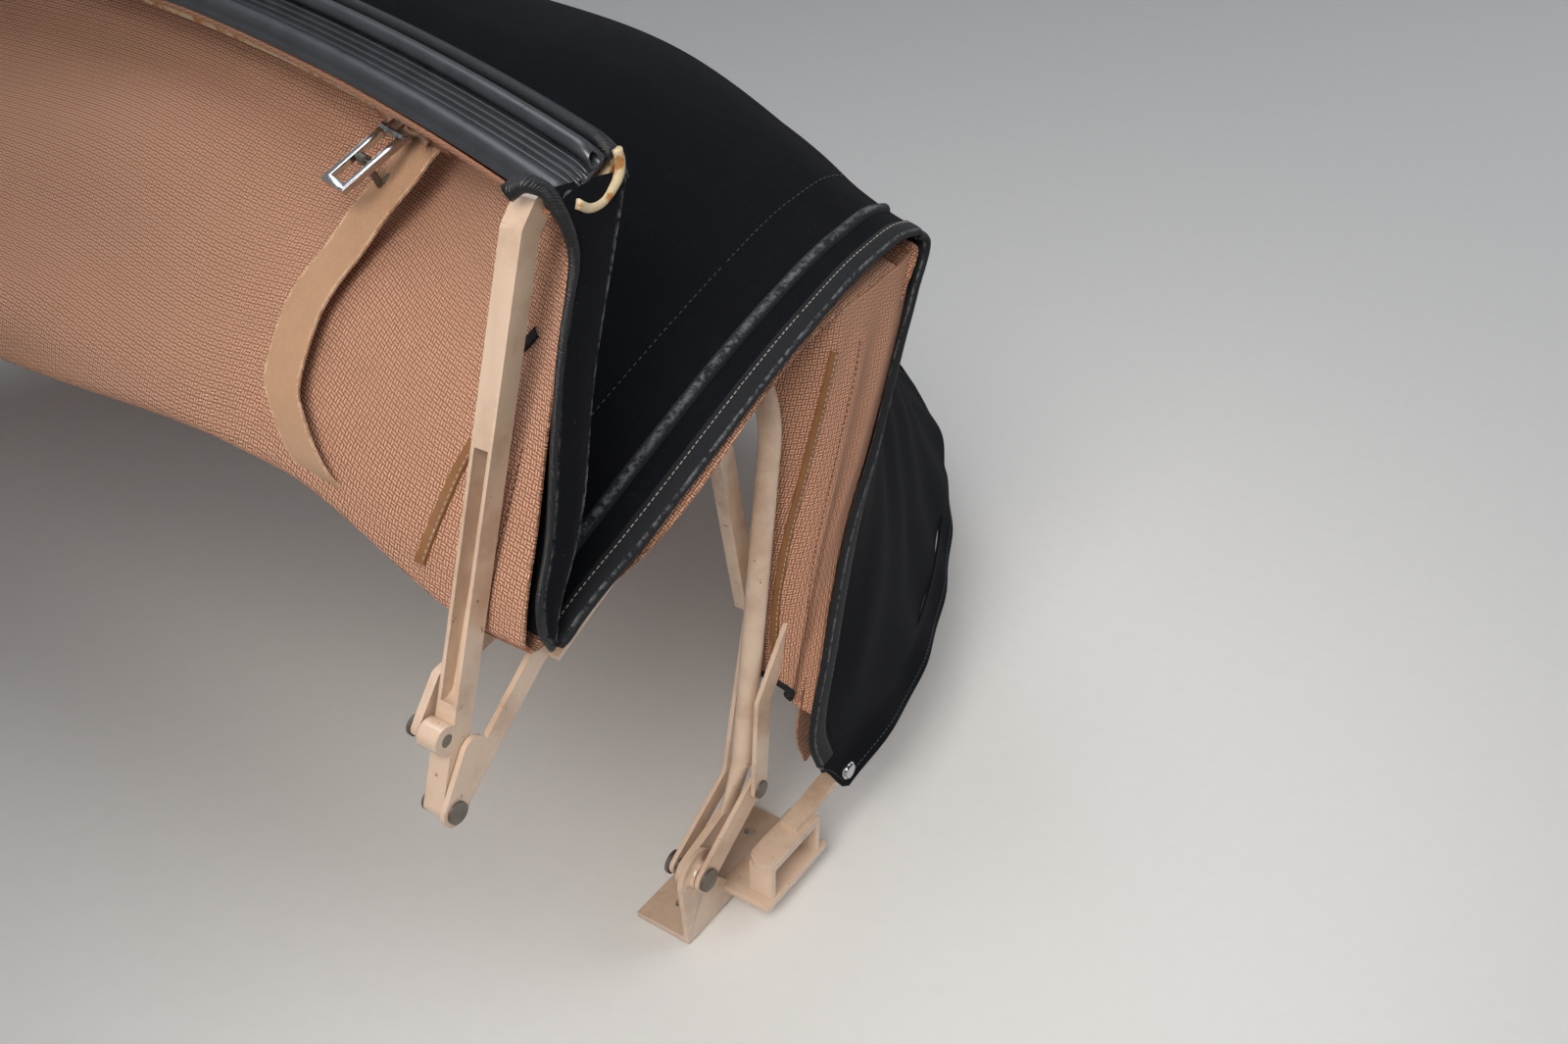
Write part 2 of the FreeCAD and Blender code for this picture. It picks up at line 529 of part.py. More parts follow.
def latch_hook():
    """Hook that swings on the lever's bar, with its bent tip."""
    b, c = HOOK_PIVOT
    eye = latch_rod(3.4, -3.0, 3.0, b, c)
    shank = Part.makeCylinder(HOOK_RADIUS, HOOK_LENGTH, Vector(0, b, c), Vector(0, 0, -1))
    tip = Part.makeCylinder(HOOK_RADIUS, 8.0, Vector(0, b, c - HOOK_LENGTH), Vector(0, 1, 0))
    end = Part.makeSphere(HOOK_RADIUS, Vector(0, b, c - HOOK_LENGTH))
    nose = Part.makeSphere(HOOK_RADIUS, Vector(0, b + 8.0, c - HOOK_LENGTH))
    hook = fused([eye, shank, tip, end, nose])
    return hook.cut(latch_rod(1.6 + RUNNING_GAP, -8.0, 8.0, b, c))


def chain(band, depth):
    """Points of a band from its left hem over the crown to its right hem, a depth inwards."""
    scale = (band["x_end"] - depth) / band["x_end"] * TRACK / DRAWN_TRACK
    rows = [(band["x_end"], 0.0), band["middle"], band["joint"], (0.0, band["crown"])]
    left = []
    for x, s in rows:
        left.append(at(x * scale,
                       band["base"][0] + band["run"][0] * s + band["inward"][0] * depth,
                       band["base"][1] + band["run"][1] * s + band["inward"][1] * depth))
    return left + [Vector(-p.x, p.y, p.z) for p in left[2::-1]]


def arcs(points):
    """Three arcs through a band's seven points."""
    return [Part.Arc(*points[i:i + 3]).toShape() for i in (0, 2, 4)]


def line(start, end):
    """Straight edge between two points."""
    return Part.LineSegment(start, end).toShape()


def sheet(names, under, thick):
    """Solid sheet through named bands; under gives its depth at each, or one depth for all."""
    depths = under if isinstance(under, tuple) else (under,) * len(names)
    outer = [chain(BANDS[name], depth) for name, depth in zip(names, depths)]
    inner = [chain(BANDS[name], depth + thick) for name, depth in zip(names, depths)]
    faces = []
    for side in (outer, inner):
        for first, second in zip(side, side[1:]):
            faces += [Part.makeRuledSurface(a, b) for a, b in zip(arcs(first), arcs(second))]
    for hem in (0, -1):
        edges = [line(a[hem], b[hem]) for a, b in zip(outer, inner)]
        faces += [Part.makeRuledSurface(a, b) for a, b in zip(edges, edges[1:])]
    for end in (0, -1):
        faces += [Part.makeRuledSurface(a, b) for a, b in zip(arcs(outer[end]), arcs(inner[end]))]
    shell = Part.makeShell(faces)
    shell.sewShape()
    solid = Part.makeSolid(Part.Shell(shell.Faces))
    if solid.Volume < 0.0:
        solid.reverse()
    return solid


def window_box(margin):
    """Rounded prism through the back panel where the window lies."""
    half = WINDOW_HALF_WIDTH + margin
    low = WINDOW_Z[0] - margin
    height = WINDOW_Z[1] - WINDOW_Z[0] + 2.0 * margin
    box = Part.makeBox(2.0 * half, 900.0, height, at(-half, 270.0, low))
    edges = [edge for edge in box.Edges if abs(edge.Length - 900.0) < 0.01]
    return box.makeFillet(45.0, edges)


def strap():
    """Webbing strap from the latch block down and round the fold."""
    outline = []
    half = COVER / 2.0
    count = len(STRAP_PLACES)
    for sign in (1.0, -1.0):
        rows = []
        for i, (y, z) in enumerate(STRAP_PLACES):
            before = STRAP_PLACES[max(i - 1, 0)]
            after = STRAP_PLACES[min(i + 1, count - 1)]
            run = math.hypot(after[0] - before[0], after[1] - before[1])
            rows.append((y - sign * half * (after[1] - before[1]) / run,
                         z + sign * half * (after[0] - before[0]) / run))
        outline += rows if sign > 0 else rows[::-1]
    return extruded(outline, *STRAP_X)


def snap(place, x):
    """Snap button on the skirt."""
    return fused([disc(place, 7.0, x, x + 1.5), disc(place, 5.5, x, x + 3.5)])


PARTS = {}


def side_pair(name, shape):
    """Stores a piece of the left side and its mirror twin as two nodes."""
    PARTS[name + "_left"] = shape
    PARTS[name + "_right"] = mirrored(shape)


side_pair("bracket", bracket())
PARTS["main_pins"] = pair(headed_pin(MAIN_PIVOT, MAIN_PIN_RADIUS,
                                     ((-20.0, -17.3, 9.0), (12.2, 14.8, 9.0))))
PARTS["rear_bow"] = rear_bow()
PARTS["crest_bow"] = crest_bow()
side_pair("crest_arm", crest_arm())
PARTS["crest_rivets"] = pair(headed_pin(CREST_RIVET, PIN_RADIUS,
                                        ((8.6, 12.0, 4.0), (16.1, 17.4, 7.0))))
PARTS["main_bow"] = main_bow()
side_pair("rear_rail", rear_rail())
PARTS["shoulder_pins"] = pair(headed_pin(SHOULDER, PIN_RADIUS,
                                         ((-19.4, -17.2, 7.0), (-9.3, -7.5, 7.0))))
side_pair("centre_rail", centre_rail())
PARTS["elbow_pins"] = pair(headed_pin(ELBOW, PIN_RADIUS, ((-29.8, -28.2, 7.0), (-9.3, -7.4, 7.0))))
side_pair("front_rail", front_rail())
PARTS["roof_bow_pins"] = pair(headed_pin(BOW_PIVOT, PIN_RADIUS,
                                         ((-38.4, -36.2, 6.5), (-30.2, -28.3, 6.5),
                                          (-28.3, -14.0, 4.0))))
PARTS["header"] = header()
PARTS["header_seal"] = header_seal()
side_pair("latch_block", latch_placed(latch_block()))
side_pair("latch_base", latch_placed(latch_base()))
side_pair("latch_lever", latch_placed(latch_lever()))
side_pair("latch_hook", latch_placed(latch_hook()))
PARTS["roof_bow"] = roof_bow()
PARTS["front_canvas"] = sheet(("header_back", "front_high", "fold_front"), 0.0, COVER)
notch = latch_placed(latch_box((-LATCH_BLOCK_WIDTH / 2.0 - 1.0, LATCH_BLOCK_WIDTH / 2.0 + 3.0),
                               (-5.0, 29.0), (-47.0, 0.0)))
lining = sheet(("header_under", "front_high", "lining_fold"), (0.0, 8.0, 0.0), LINING)
PARTS["front_lining"] = lining.cut(notch).cut(mirrored(notch))
PARTS["rear_canvas"] = sheet(("fold_rear", "middle", "crest_front", "crest_end"), 0.0, COVER)
PARTS["rear_lining"] = sheet(("lining_turn", "middle", "lining_rear"), (0.0, 9.0, 9.0), LINING)
back = sheet(("crest_start", "crest_back", "back_high", "back_mid", "back_base"), 0.0, COVER)
PARTS["back_canvas"] = back.cut(window_box(0.0))
inner = sheet(("crest_back", "back_high", "back_mid", "back_base"), 13.0, LINING)
PARTS["back_lining"] = inner.cut(window_box(30.0)).cut(extruded(
    [(0.0, -50.0), (0.0, 600.0), (340.0, 600.0), (306.0, 440.0), (182.0, 205.0), (122.0, 70.0),
     (122.0, -50.0)], -700.0, 700.0))
pane = sheet(("crest_back", "back_high", "back_mid", "back_base"), COVER + SEAT_GAP, WINDOW)
PARTS["rear_window"] = pane.common(window_box(18.0))
PARTS["skirt"] = sheet(("skirt_top", "skirt_low"), 0.0, COVER)
side_pair("strap", strap())
PARTS["snap_fasteners"] = pair(snap((112.0, 44.0), TRACK + 59.0))

os.makedirs("parts", exist_ok=True)
for node, piece in PARTS.items():
    piece.exportStep("parts/" + node + ".step")
    print(node, piece.isValid(), len(piece.Solids), round(piece.Volume / 1000.0, 1))
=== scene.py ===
"""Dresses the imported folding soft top: cloth, trim, rubber, fittings, finishes, light and camera."""

import json
import logging
import math
from collections.abc import Sequence
from dataclasses import dataclass, field
from enum import Enum

import bmesh
import bpy
import numpy as np
from mathutils import Matrix, Vector


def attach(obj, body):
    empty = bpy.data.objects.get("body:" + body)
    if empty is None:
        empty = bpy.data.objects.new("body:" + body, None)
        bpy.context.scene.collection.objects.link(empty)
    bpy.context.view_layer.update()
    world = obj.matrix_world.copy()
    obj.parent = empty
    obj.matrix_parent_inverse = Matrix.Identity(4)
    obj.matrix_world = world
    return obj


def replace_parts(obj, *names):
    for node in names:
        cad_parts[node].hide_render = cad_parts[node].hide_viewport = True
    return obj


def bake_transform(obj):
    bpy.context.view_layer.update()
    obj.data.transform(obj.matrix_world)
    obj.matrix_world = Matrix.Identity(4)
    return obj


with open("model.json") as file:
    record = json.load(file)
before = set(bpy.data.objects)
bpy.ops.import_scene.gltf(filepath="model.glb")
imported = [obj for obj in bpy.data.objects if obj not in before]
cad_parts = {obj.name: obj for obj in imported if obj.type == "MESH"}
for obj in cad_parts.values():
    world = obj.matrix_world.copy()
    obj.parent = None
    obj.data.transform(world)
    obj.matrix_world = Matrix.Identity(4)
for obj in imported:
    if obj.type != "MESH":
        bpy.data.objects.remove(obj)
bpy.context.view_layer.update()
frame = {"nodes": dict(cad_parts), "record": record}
LOG = logging.getLogger("soft_top")

# Places are millimetres from the main pivots' line: x to the car's left, y to the rear, z up
PIVOT = np.array((0.0, -55.0, 60.0))
MM = 0.001
COVER_MM = 2.0
LINING_MM = 1.6
EDGE_MM = 0.7
Pair = tuple[float, float]
Triple = tuple[float, float, float]


def metres(points: Sequence[Sequence[float]]) -> np.ndarray:
    """Turns places counted from the pivots' line into the row frame.

    Args:
        points: Places (x, y, z) in millimetres.

    Returns:
        The places in metres.
    """
    return (np.asarray(points, float) + PIVOT) * MM


class Body(Enum):
    """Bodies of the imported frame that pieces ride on."""

    ROOT = "root"
    CREST = "crest_bow_body"
    MAIN = "main_bow_body"
    CENTRE = "centre_rails_body"
    FRONT = "front_frame"
    LEVER_LEFT = "latch_lever_left_body"
    LEVER_RIGHT = "latch_lever_right_body"


class Side(Enum):
    """The two halves of the top, by the sign of x."""

    LEFT = 1
    RIGHT = -1


@dataclass(frozen=True)
class Ride:
    """Motion of a piece fixed to one body."""

    body: Body

    def apply(self, piece: bpy.types.Object) -> None:
        """Fixes the piece to the body."""
        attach(piece, self.body.value)


@dataclass(frozen=True)
class Bend:
    """Cloth between two joined bodies, with the places where its turn starts and ends; it follows neither
    body.
    """

    first: Body
    second: Body
    start: Triple
    end: Triple

    def apply(self, piece: bpy.types.Object) -> None:
        """Bakes the piece's transform into its mesh."""
        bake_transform(piece)


Motion = Ride | Bend
RIM_ANGLE = math.radians(55.0)
FRONT_FOLD = Bend(Body.CENTRE, Body.FRONT, (0.0, -140.0, 363.0), (0.0, -58.0, 506.0))
ROOF_FOLD = Bend(Body.MAIN, Body.CENTRE, (0.0, 110.0, 380.0), (0.0, -138.0, 380.0))
CREST_FOLD = Bend(Body.CREST, Body.MAIN, (0.0, 245.0, 404.0), (0.0, 125.0, 404.0))
BACK_FOLD = Bend(Body.ROOT, Body.CREST, (0.0, 250.0, 110.0), (0.0, 250.0, 404.0))
ON_ROOT = Ride(Body.ROOT)
ON_FRONT = Ride(Body.FRONT)


# Finishes


def linear(hex_code: str) -> tuple[float, float, float, float]:
    """Turns an sRGB hex code into a linear colour.

    Args:
        hex_code: Six hex digits.

    Returns:
        Linear red, green, blue and an alpha of one.
    """
    values = [int(hex_code[i:i + 2], 16) / 255.0 for i in (0, 2, 4)]
    return (*[v / 12.92 if v <= 0.04045 else ((v + 0.055) / 1.055) ** 2.4 for v in values], 1.0)


def node(tree: bpy.types.NodeTree, kind: str, inputs: dict | None = None, **settings) -> bpy.types.Node:
    """Adds a node with its settings and its inputs, which are constants or sockets to link.

    Args:
        tree: Node tree of the material.
        kind: Node type without its ShaderNode prefix.
        inputs: Values or output sockets by input name or number.
        settings: Properties of the node.

    Returns:
        The new node.
    """
    made = tree.nodes.new("ShaderNode" + kind)
    for name, value in settings.items():
        setattr(made, name, value)
    for name, value in (inputs or {}).items():
        if isinstance(value, bpy.types.NodeSocket):
            tree.links.new(value, made.inputs[name])
        else:
            made.inputs[name].default_value = value
    return made


@dataclass(frozen=True)
class Finish:
    """A finish: its name, its record slot and its surface numbers."""

    name: str
    slot: str
    colour: str
    second: str
    roughness: float
    metallic: float = 0.0
    sheen: float = 0.0
    coat: float = 0.0
    specular: float = 0.5
    grain_mm: float = 1.0
    bump: float = 0.1

    def material(self) -> bpy.types.Material:
        """Builds the material.

        Returns:
            The material, with its colour, roughness and bump from this finish's pattern.
        """
        made = bpy.data.materials.new(self.name)
        made.use_nodes = True
        tree = made.node_tree
        tree.nodes.clear()
        shader = node(tree, "BsdfPrincipled", {"Metallic": self.metallic})
        shader.inputs["Sheen Weight"].default_value = self.sheen
        shader.inputs["Coat Weight"].default_value = self.coat
        shader.inputs["Coat Roughness"].default_value = 0.12
        shader.inputs["Specular IOR Level"].default_value = self.specular
        node(tree, "OutputMaterial", {"Surface": shader.outputs[0]})
        colour, roughness, height = self.pattern(tree)
        tree.links.new(colour, shader.inputs["Base Color"])
        tree.links.new(roughness, shader.inputs["Roughness"])
        if height is not None:
            bump = node(tree, "Bump", {"Height": height, "Strength": self.bump,
                                       "Distance": self.grain_mm * MM})
            tree.links.new(bump.outputs[0], shader.inputs["Normal"])
        self.adjust(shader)
        return made

    def adjust(self, shader: bpy.types.Node) -> None:
        """Sets what only some finishes need on the shader."""

    def pattern(self, tree: bpy.types.NodeTree) -> tuple:
        """Sockets of the colour, roughness and height; here a fine mottle of two colours."""
        place = node(tree, "TexCoord").outputs["Object"]
        mottle = self.noise(tree, place, 14.0, 4.0)
        fine = self.noise(tree, place, self.grain_mm, 3.0)
        colour = self.mix(tree, mottle, linear(self.colour), linear(self.second))
        return colour, self.spread(tree, mottle, self.roughness, 0.12), fine

    def noise(self, tree: bpy.types.NodeTree, place: bpy.types.NodeSocket, size_mm: float,
              detail: float, roughness: float = 0.55) -> bpy.types.NodeSocket:
        """Noise whose blotches have a size in millimetres."""
        made = node(tree, "TexNoise", {"Vector": place, "Scale": 1.0 / (size_mm * MM),
                                       "Detail": detail, "Roughness": roughness})
        return made.outputs[0]

    def mix(self, tree: bpy.types.NodeTree, share: bpy.types.NodeSocket | float, first: object,
            second: object) -> bpy.types.NodeSocket:
        """Colour between two by a share."""
        made = node(tree, "Mix", {0: share, 6: first, 7: second}, data_type="RGBA")
        return made.outputs[2]

    def step(self, tree: bpy.types.NodeTree, value: bpy.types.NodeSocket, low: float,
             high: float) -> bpy.types.NodeSocket:
        """Share that rises from 0 at low to 1 at high."""
        made = node(tree, "MapRange", {0: value, 1: low, 2: high}, interpolation_type="SMOOTHSTEP")
        return made.outputs[0]

    def spread(self, tree: bpy.types.NodeTree, value: bpy.types.NodeSocket, middle: float,
               width: float) -> bpy.types.NodeSocket:
        """Number round a middle that follows a pattern."""
        made = node(tree, "MapRange", {0: value, 1: 0.3, 2: 0.7, 3: middle - width / 2.0,
                                       4: middle + width / 2.0})
        return made.outputs[0]

    def maths(self, tree: bpy.types.NodeTree, operation: str, *values: object) -> bpy.types.NodeSocket:
        """Result of a maths node."""
        return node(tree, "Math", dict(enumerate(values)), operation=operation).outputs[0]


@dataclass(frozen=True)
class Enamel(Finish):
    """Brushed-on beige enamel: soft gloss, dirty film, chips down to rust."""

    def pattern(self, tree: bpy.types.NodeTree) -> tuple:
        """Enamel with a dirt film and small chips."""
        place = node(tree, "TexCoord").outputs["Object"]
        film = self.noise(tree, place, 45.0, 5.0, 0.62)
        colour = self.mix(tree, self.step(tree, film, 0.42, 0.72), linear(self.colour),
                          linear(self.second))
        chip = self.noise(tree, place, 9.0, 6.0, 0.68)
        share = self.step(tree, chip, 0.665, 0.69)
        rust = self.mix(tree, self.noise(tree, place, 2.0, 3.0), linear("4a2a16"), linear("9a5a2c"))
        colour = self.mix(tree, share, colour, rust)
        rough = self.maths(tree, "MULTIPLY_ADD", share, 0.4, self.spread(tree, film, self.roughness, 0.1))
        height = self.maths(tree, "MULTIPLY_ADD", share, -0.6, self.noise(tree, place, 3.0, 2.0))
        return colour, rough, height


@dataclass(frozen=True)
class Woven(Finish):
    """Cloth whose threads follow its own flat layout, worn towards its hem."""

    thread_mm: float = 2.4
    worn: str = "6f7072"
    wear_mm: float = 4.0
    dust: str = "171b23"
    dusty: float = 0.4
    stray: float = 1.6
    contrast: float = 0.5

    def layout(self, tree: bpy.types.NodeTree) -> tuple:
        """Sockets of the flat places across and along the cloth, counted in threads."""
        flat = node(tree, "UVMap", uv_map="flat").outputs[0]
        parts = node(tree, "SeparateXYZ", {0: flat})
        count = 1.0 / (self.thread_mm * MM)
        stray = self.noise(tree, flat, self.thread_mm * 6.0, 3.0)
        across = self.maths(tree, "MULTIPLY_ADD", stray, self.stray * 2.0,
                            self.maths(tree, "MULTIPLY", parts.outputs[0], count))
        along = self.maths(tree, "MULTIPLY_ADD", stray, self.stray,
                           self.maths(tree, "MULTIPLY", parts.outputs[1], count))
        return across, along

    def threads(self, tree: bpy.types.NodeTree, across: bpy.types.NodeSocket,
                along: bpy.types.NodeSocket) -> bpy.types.NodeSocket:
        """Height of a twill's slanting ribs, drawn coarser than the real 0.8 mm so that they show."""
        slant = self.maths(tree, "ADD", across, along)
        wave = self.maths(tree, "SINE", self.maths(tree, "MULTIPLY", slant, math.tau))
        cross = self.maths(tree, "SINE", self.maths(tree, "MULTIPLY", across, math.tau * 2.0))
        return self.maths(tree, "MULTIPLY_ADD", cross, 0.3, wave)

    def pattern(self, tree: bpy.types.NodeTree) -> tuple:
        """Weave with dust, painted shade that darkens the low parts between threads, and a worn hem."""
        across, along = self.layout(tree)
        place = node(tree, "TexCoord").outputs["Object"]
        height = self.threads(tree, across, along)
        # painted shade: where the threads sink the colour turns to the darker one, standing in for shade in
        # the gaps
        shade = self.spread(tree, height, 0.5, self.contrast)
        blotch = self.noise(tree, place, 60.0, 5.0, 0.6)
        lint = self.noise(tree, place, 1.6, 2.0, 0.7)
        colour = self.mix(tree, shade, linear(self.colour), linear(self.second))
        colour = self.mix(tree, self.maths(tree, "MULTIPLY", self.step(tree, blotch, 0.45, 0.8),
                                           self.dusty), colour, linear(self.dust))
        colour = self.mix(tree, self.maths(tree, "MULTIPLY", self.step(tree, lint, 0.7, 0.78), 0.35),
                          colour, linear(self.worn))
        hem = node(tree, "Attribute", attribute_name="edge").outputs["Fac"]
        wear = self.maths(tree, "MULTIPLY", self.step(tree, hem, self.wear_mm * MM, 0.0),
                          self.step(tree, self.noise(tree, place, 5.0, 4.0, 0.7), 0.4, 0.62))
        colour = self.mix(tree, wear, colour, linear(self.worn))
        return colour, self.spread(tree, blotch, self.roughness, 0.1), height


@dataclass(frozen=True)
class Basket(Woven):
    """Woven basket lining: square cells whose threads turn from cell to cell."""

    def threads(self, tree: bpy.types.NodeTree, across: bpy.types.NodeSocket,
                along: bpy.types.NodeSocket) -> bpy.types.NodeSocket:
        """Height of the cells: two threads across in one cell and two along in the next."""
        cell_u = self.maths(tree, "FLOOR", across)
        cell_v = self.maths(tree, "FLOOR", along)
        turn = self.maths(tree, "MODULO", self.maths(tree, "ADD", cell_u, cell_v), 2.0)
        turn = self.maths(tree, "ABSOLUTE", turn)
        ribs = []
        for value, other in ((across, along), (along, across)):
            rib = self.maths(tree, "ABSOLUTE", self.maths(tree, "SINE", self.maths(
                tree, "MULTIPLY", value, math.tau)))
            end = self.maths(tree, "ABSOLUTE", self.maths(tree, "SINE", self.maths(
                tree, "MULTIPLY", other, math.pi)))
            ribs.append(self.maths(tree, "MULTIPLY", self.maths(tree, "POWER", end, 0.35), rib))
        first = self.maths(tree, "MULTIPLY", ribs[0], turn)
        second = self.maths(tree, "MULTIPLY", ribs[1], self.maths(tree, "SUBTRACT", 1.0, turn))
        return self.maths(tree, "ADD", first, second)


@dataclass(frozen=True)
class Raw(Finish):
    """Raw wood of the header with brown glue soaked in."""

    def pattern(self, tree: bpy.types.NodeTree) -> tuple:
        """Pale wood, long grain and stains."""
        place = node(tree, "TexCoord").outputs["Object"]
        long = node(tree, "Mapping", {"Vector": place, "Scale": (0.08, 1.0, 1.0)}).outputs[0]
        grain = self.noise(tree, long, 1.5, 4.0)
        stain = self.noise(tree, place, 11.0, 4.0, 0.6)
        colour = self.mix(tree, grain, linear(self.colour), linear("b9a57e"))
        colour = self.mix(tree, self.step(tree, stain, 0.5, 0.6), colour, linear(self.second))
        return colour, self.spread(tree, stain, self.roughness, 0.2), grain


@dataclass(frozen=True)
class Clear(Finish):
    """Clear flexible sheet with a faint haze."""

    def adjust(self, shader: bpy.types.Node) -> None:
        """Makes the sheet see-through."""
        shader.inputs["Transmission Weight"].default_value = 0.92
        shader.inputs["IOR"].default_value = 1.5


# Soft gloss with a warm dirt film and a few rust chips
ENAMEL = Enamel("beige_enamel_on_steel", "steel_paint", "cdb39c", "b99c84", 0.22, coat=0.6, bump=0.08)
# Grey plated pins and screws, dull with handling
ZINC = Finish("dull_zinc_steel", "bare_steel", "8c877f", "5f5a52", 0.45, metallic=0.9, bump=0.1)
# Bright plate with faint wear
CHROME = Finish("worn_chrome_plate", "bright_metal", "d2d4d6", "a9abad", 0.13, metallic=1.0, bump=0.04)
# Pale bare wood with brown glue stains
WOOD = Raw("raw_beech_with_glue", "header_wood", "d3c4a2", "a9713c", 0.7, bump=0.3)
# Grey-black rubber whose ribs catch a broad highlight; its base colour is lightened to grey as painted sheen
RUBBER = Finish("seal_rubber_with_painted_sheen", "seal_rubber", "1b1e21", "34383d", 0.33, specular=0.8,
                grain_mm=0.8, bump=0.1)
# Deep black outer cloth with slanting ribs and hardly any shine
TWILL = Woven("black_cotton_twill", "canvas", "05060a", "0b0d13", 0.88, sheen=0.02, specular=0.12,
              bump=0.35, thread_mm=2.2, grain_mm=0.3)
# Tapes of the hems, worn grey along their edge
BINDING = Woven("worn_black_binding_tape", "canvas", "101114", "1a1c20", 0.8, sheen=0.04, bump=0.4,
                specular=0.3, thread_mm=1.8, grain_mm=0.3, wear_mm=1.6, worn="77787a")
ROLLED = Woven("rolled_black_hem", "canvas", "08090b", "101216", 0.45, sheen=0.02, bump=0.4,
               specular=0.5, thread_mm=1.8, grain_mm=0.3, worn="6c6e70")
WELT = Woven("worn_welt_tape", "canvas", "101114", "1a1c20", 0.8, sheen=0.04, bump=0.4,
             specular=0.3, thread_mm=1.8, grain_mm=0.3, wear_mm=3.4, worn="6c6e70")
# Tan lining whose square cells turn from one to the next, drawn at 3.9 mm so that they show; its dark colour
# is painted shade in the gaps between threads
LINING = Basket("tan_basket_lining", "lining", "7f4f36", "e0ab8d", 0.9, sheen=0.08, bump=1.0,
                specular=0.2, thread_mm=3.9, grain_mm=1.0, worn="8a6246", wear_mm=3.0, dust="b5866a",
                dusty=0.2, stray=0.05, contrast=0.8)
# Straps: close tan webbing with pale edges
WEBBING = Woven("tan_cotton_webbing", "webbing", "a9805f", "c49a78", 0.82, sheen=0.15, bump=0.5,
                thread_mm=1.8, grain_mm=0.4, worn="d8b596", wear_mm=2.5, dust="b08a68")
TAN_THREAD = Finish("tan_thread", "lining", "7a4a30", "5c3520", 0.8, grain_mm=0.4, bump=0.3)
# Narrow strips sewn on the lining, and the threads of all seams
LEATHER = Finish("gold_brown_leather", "lining", "8d5f33", "6d4522", 0.5, grain_mm=0.9, bump=0.35)
THREAD = Finish("off_white_thread", "canvas", "b9b5ab", "8e8a82", 0.8, grain_mm=0.4, bump=0.3)
DARK_THREAD = Finish("grey_thread", "canvas", "55575b", "3a3c40", 0.8, grain_mm=0.4, bump=0.3)
# Clear soft sheet with a little haze
VINYL = Clear("clear_window_sheet", "window", "dfe3e4", "cfd4d6", 0.12, grain_mm=6.0, bump=0.05)


# Shapes


def grid_piece(name: str, columns: int, lines: int, places: np.ndarray,
               flat: np.ndarray | None = None, edge: np.ndarray | None = None,
               around: bool = False, capped: bool = False,
               keep: np.ndarray | None = None) -> bpy.types.Object:
    """Makes a piece from a flat grid whose points are put in place.

    Args:
        name: Name of the piece.
        columns: Points across.
        lines: Points along.
        places: Places of the points in metres, lines by columns by three.
        flat: Flat places of the points for the cloth's layout, lines by columns by two.
        edge: Distance of each point from the nearest hem, lines by columns.
        around: Whether the first and last columns meet, as on a tube.
        capped: Whether open ends are closed by faces.
        keep: Which points stay, lines by columns.

    Returns:
        The object.
    """
    bm = bmesh.new()
    bmesh.ops.create_grid(bm, x_segments=columns - 1, y_segments=lines - 1, size=1.0)
    half = max(v.co.x for v in bm.verts)
    hem = bm.verts.layers.float.new("edge")
    index = {}
    for v in bm.verts:
        i = round((v.co.x / half + 1.0) / 2.0 * (columns - 1))
        j = round((v.co.y / half + 1.0) / 2.0 * (lines - 1))
        index[v] = (j, i)
        v[hem] = float(edge[j, i]) if edge is not None else 1.0
    if flat is not None:
        layer = bm.loops.layers.uv.new("flat")
        for face in bm.faces:
            for loop in face.loops:
                loop[layer].uv = flat[index[loop.vert]]
    for v, place in index.items():
        v.co = places[place]
    if keep is not None:
        bmesh.ops.delete(bm, geom=[v for v, place in index.items() if not keep[place]], context="VERTS")
    if around:
        bmesh.ops.remove_doubles(bm, verts=bm.verts, dist=1e-6)
    if capped:
        bmesh.ops.holes_fill(bm, edges=[e for e in bm.edges if e.is_boundary])
    if around or capped:
        bmesh.ops.recalc_face_normals(bm, faces=bm.faces)
    else:
        bmesh.ops.reverse_faces(bm, faces=bm.faces)
    return finished(name, bm)


def finished(name: str, bm: bmesh.types.BMesh) -> bpy.types.Object:
    """Turns a bmesh into a smooth-shaded object in the scene.

    Args:
        name: Name of the piece.
        bm: Its mesh, freed here.

    Returns:
        The object.
    """
    for face in bm.faces:
        face.smooth = True
    mesh = bpy.data.meshes.new(name)
    bm.to_mesh(mesh)
    bm.free()
    made = bpy.data.objects.new(name, mesh)
    bpy.context.scene.collection.objects.link(made)
    return made


def thickened(piece: bpy.types.Object, thick_mm: float, offset: float = -1.0) -> bpy.types.Object:
    """Gives a sheet its thickness, by default inwards from its outer face, with crisp rims."""
    wall = piece.modifiers.new("thickness", "SOLIDIFY")
    wall.thickness = thick_mm * MM
    wall.offset = offset
    bpy.context.view_layer.update()
    piece.data = bpy.data.meshes.new_from_object(piece.evaluated_get(bpy.context.evaluated_depsgraph_get()))
    piece.modifiers.clear()
    piece.data.set_sharp_from_angle(angle=RIM_ANGLE)
    return piece


def rounded(name: str, width_mm: float) -> bpy.types.Object:
    """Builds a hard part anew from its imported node, with its sharp edges rounded a little.

    Args:
        name: Name of the node.
        width_mm: Width of the rounding.

    Returns:
        The object.
    """
    bm = bmesh.new()
    bm.from_mesh(frame["nodes"][name].data)
    bm.transform(frame["nodes"][name].matrix_world)
    bmesh.ops.remove_doubles(bm, verts=bm.verts, dist=1e-6)
    bmesh.ops.dissolve_limit(bm, angle_limit=math.radians(1.5), verts=bm.verts, edges=bm.edges)
    sharp = [e for e in bm.edges if len(e.link_faces) == 2 and e.calc_face_angle(0.0) > math.radians(40.0)
             and e.calc_length() > 4.0 * width_mm * MM]
    bmesh.ops.bevel(bm, geom=sharp, offset=width_mm * MM, segments=2, profile=0.5, affect="EDGES",
                    clamp_overlap=True, material=-1)
    made = finished(name + "_rounded", bm)
    made.data.set_sharp_from_angle(angle=math.radians(35.0))
    return made


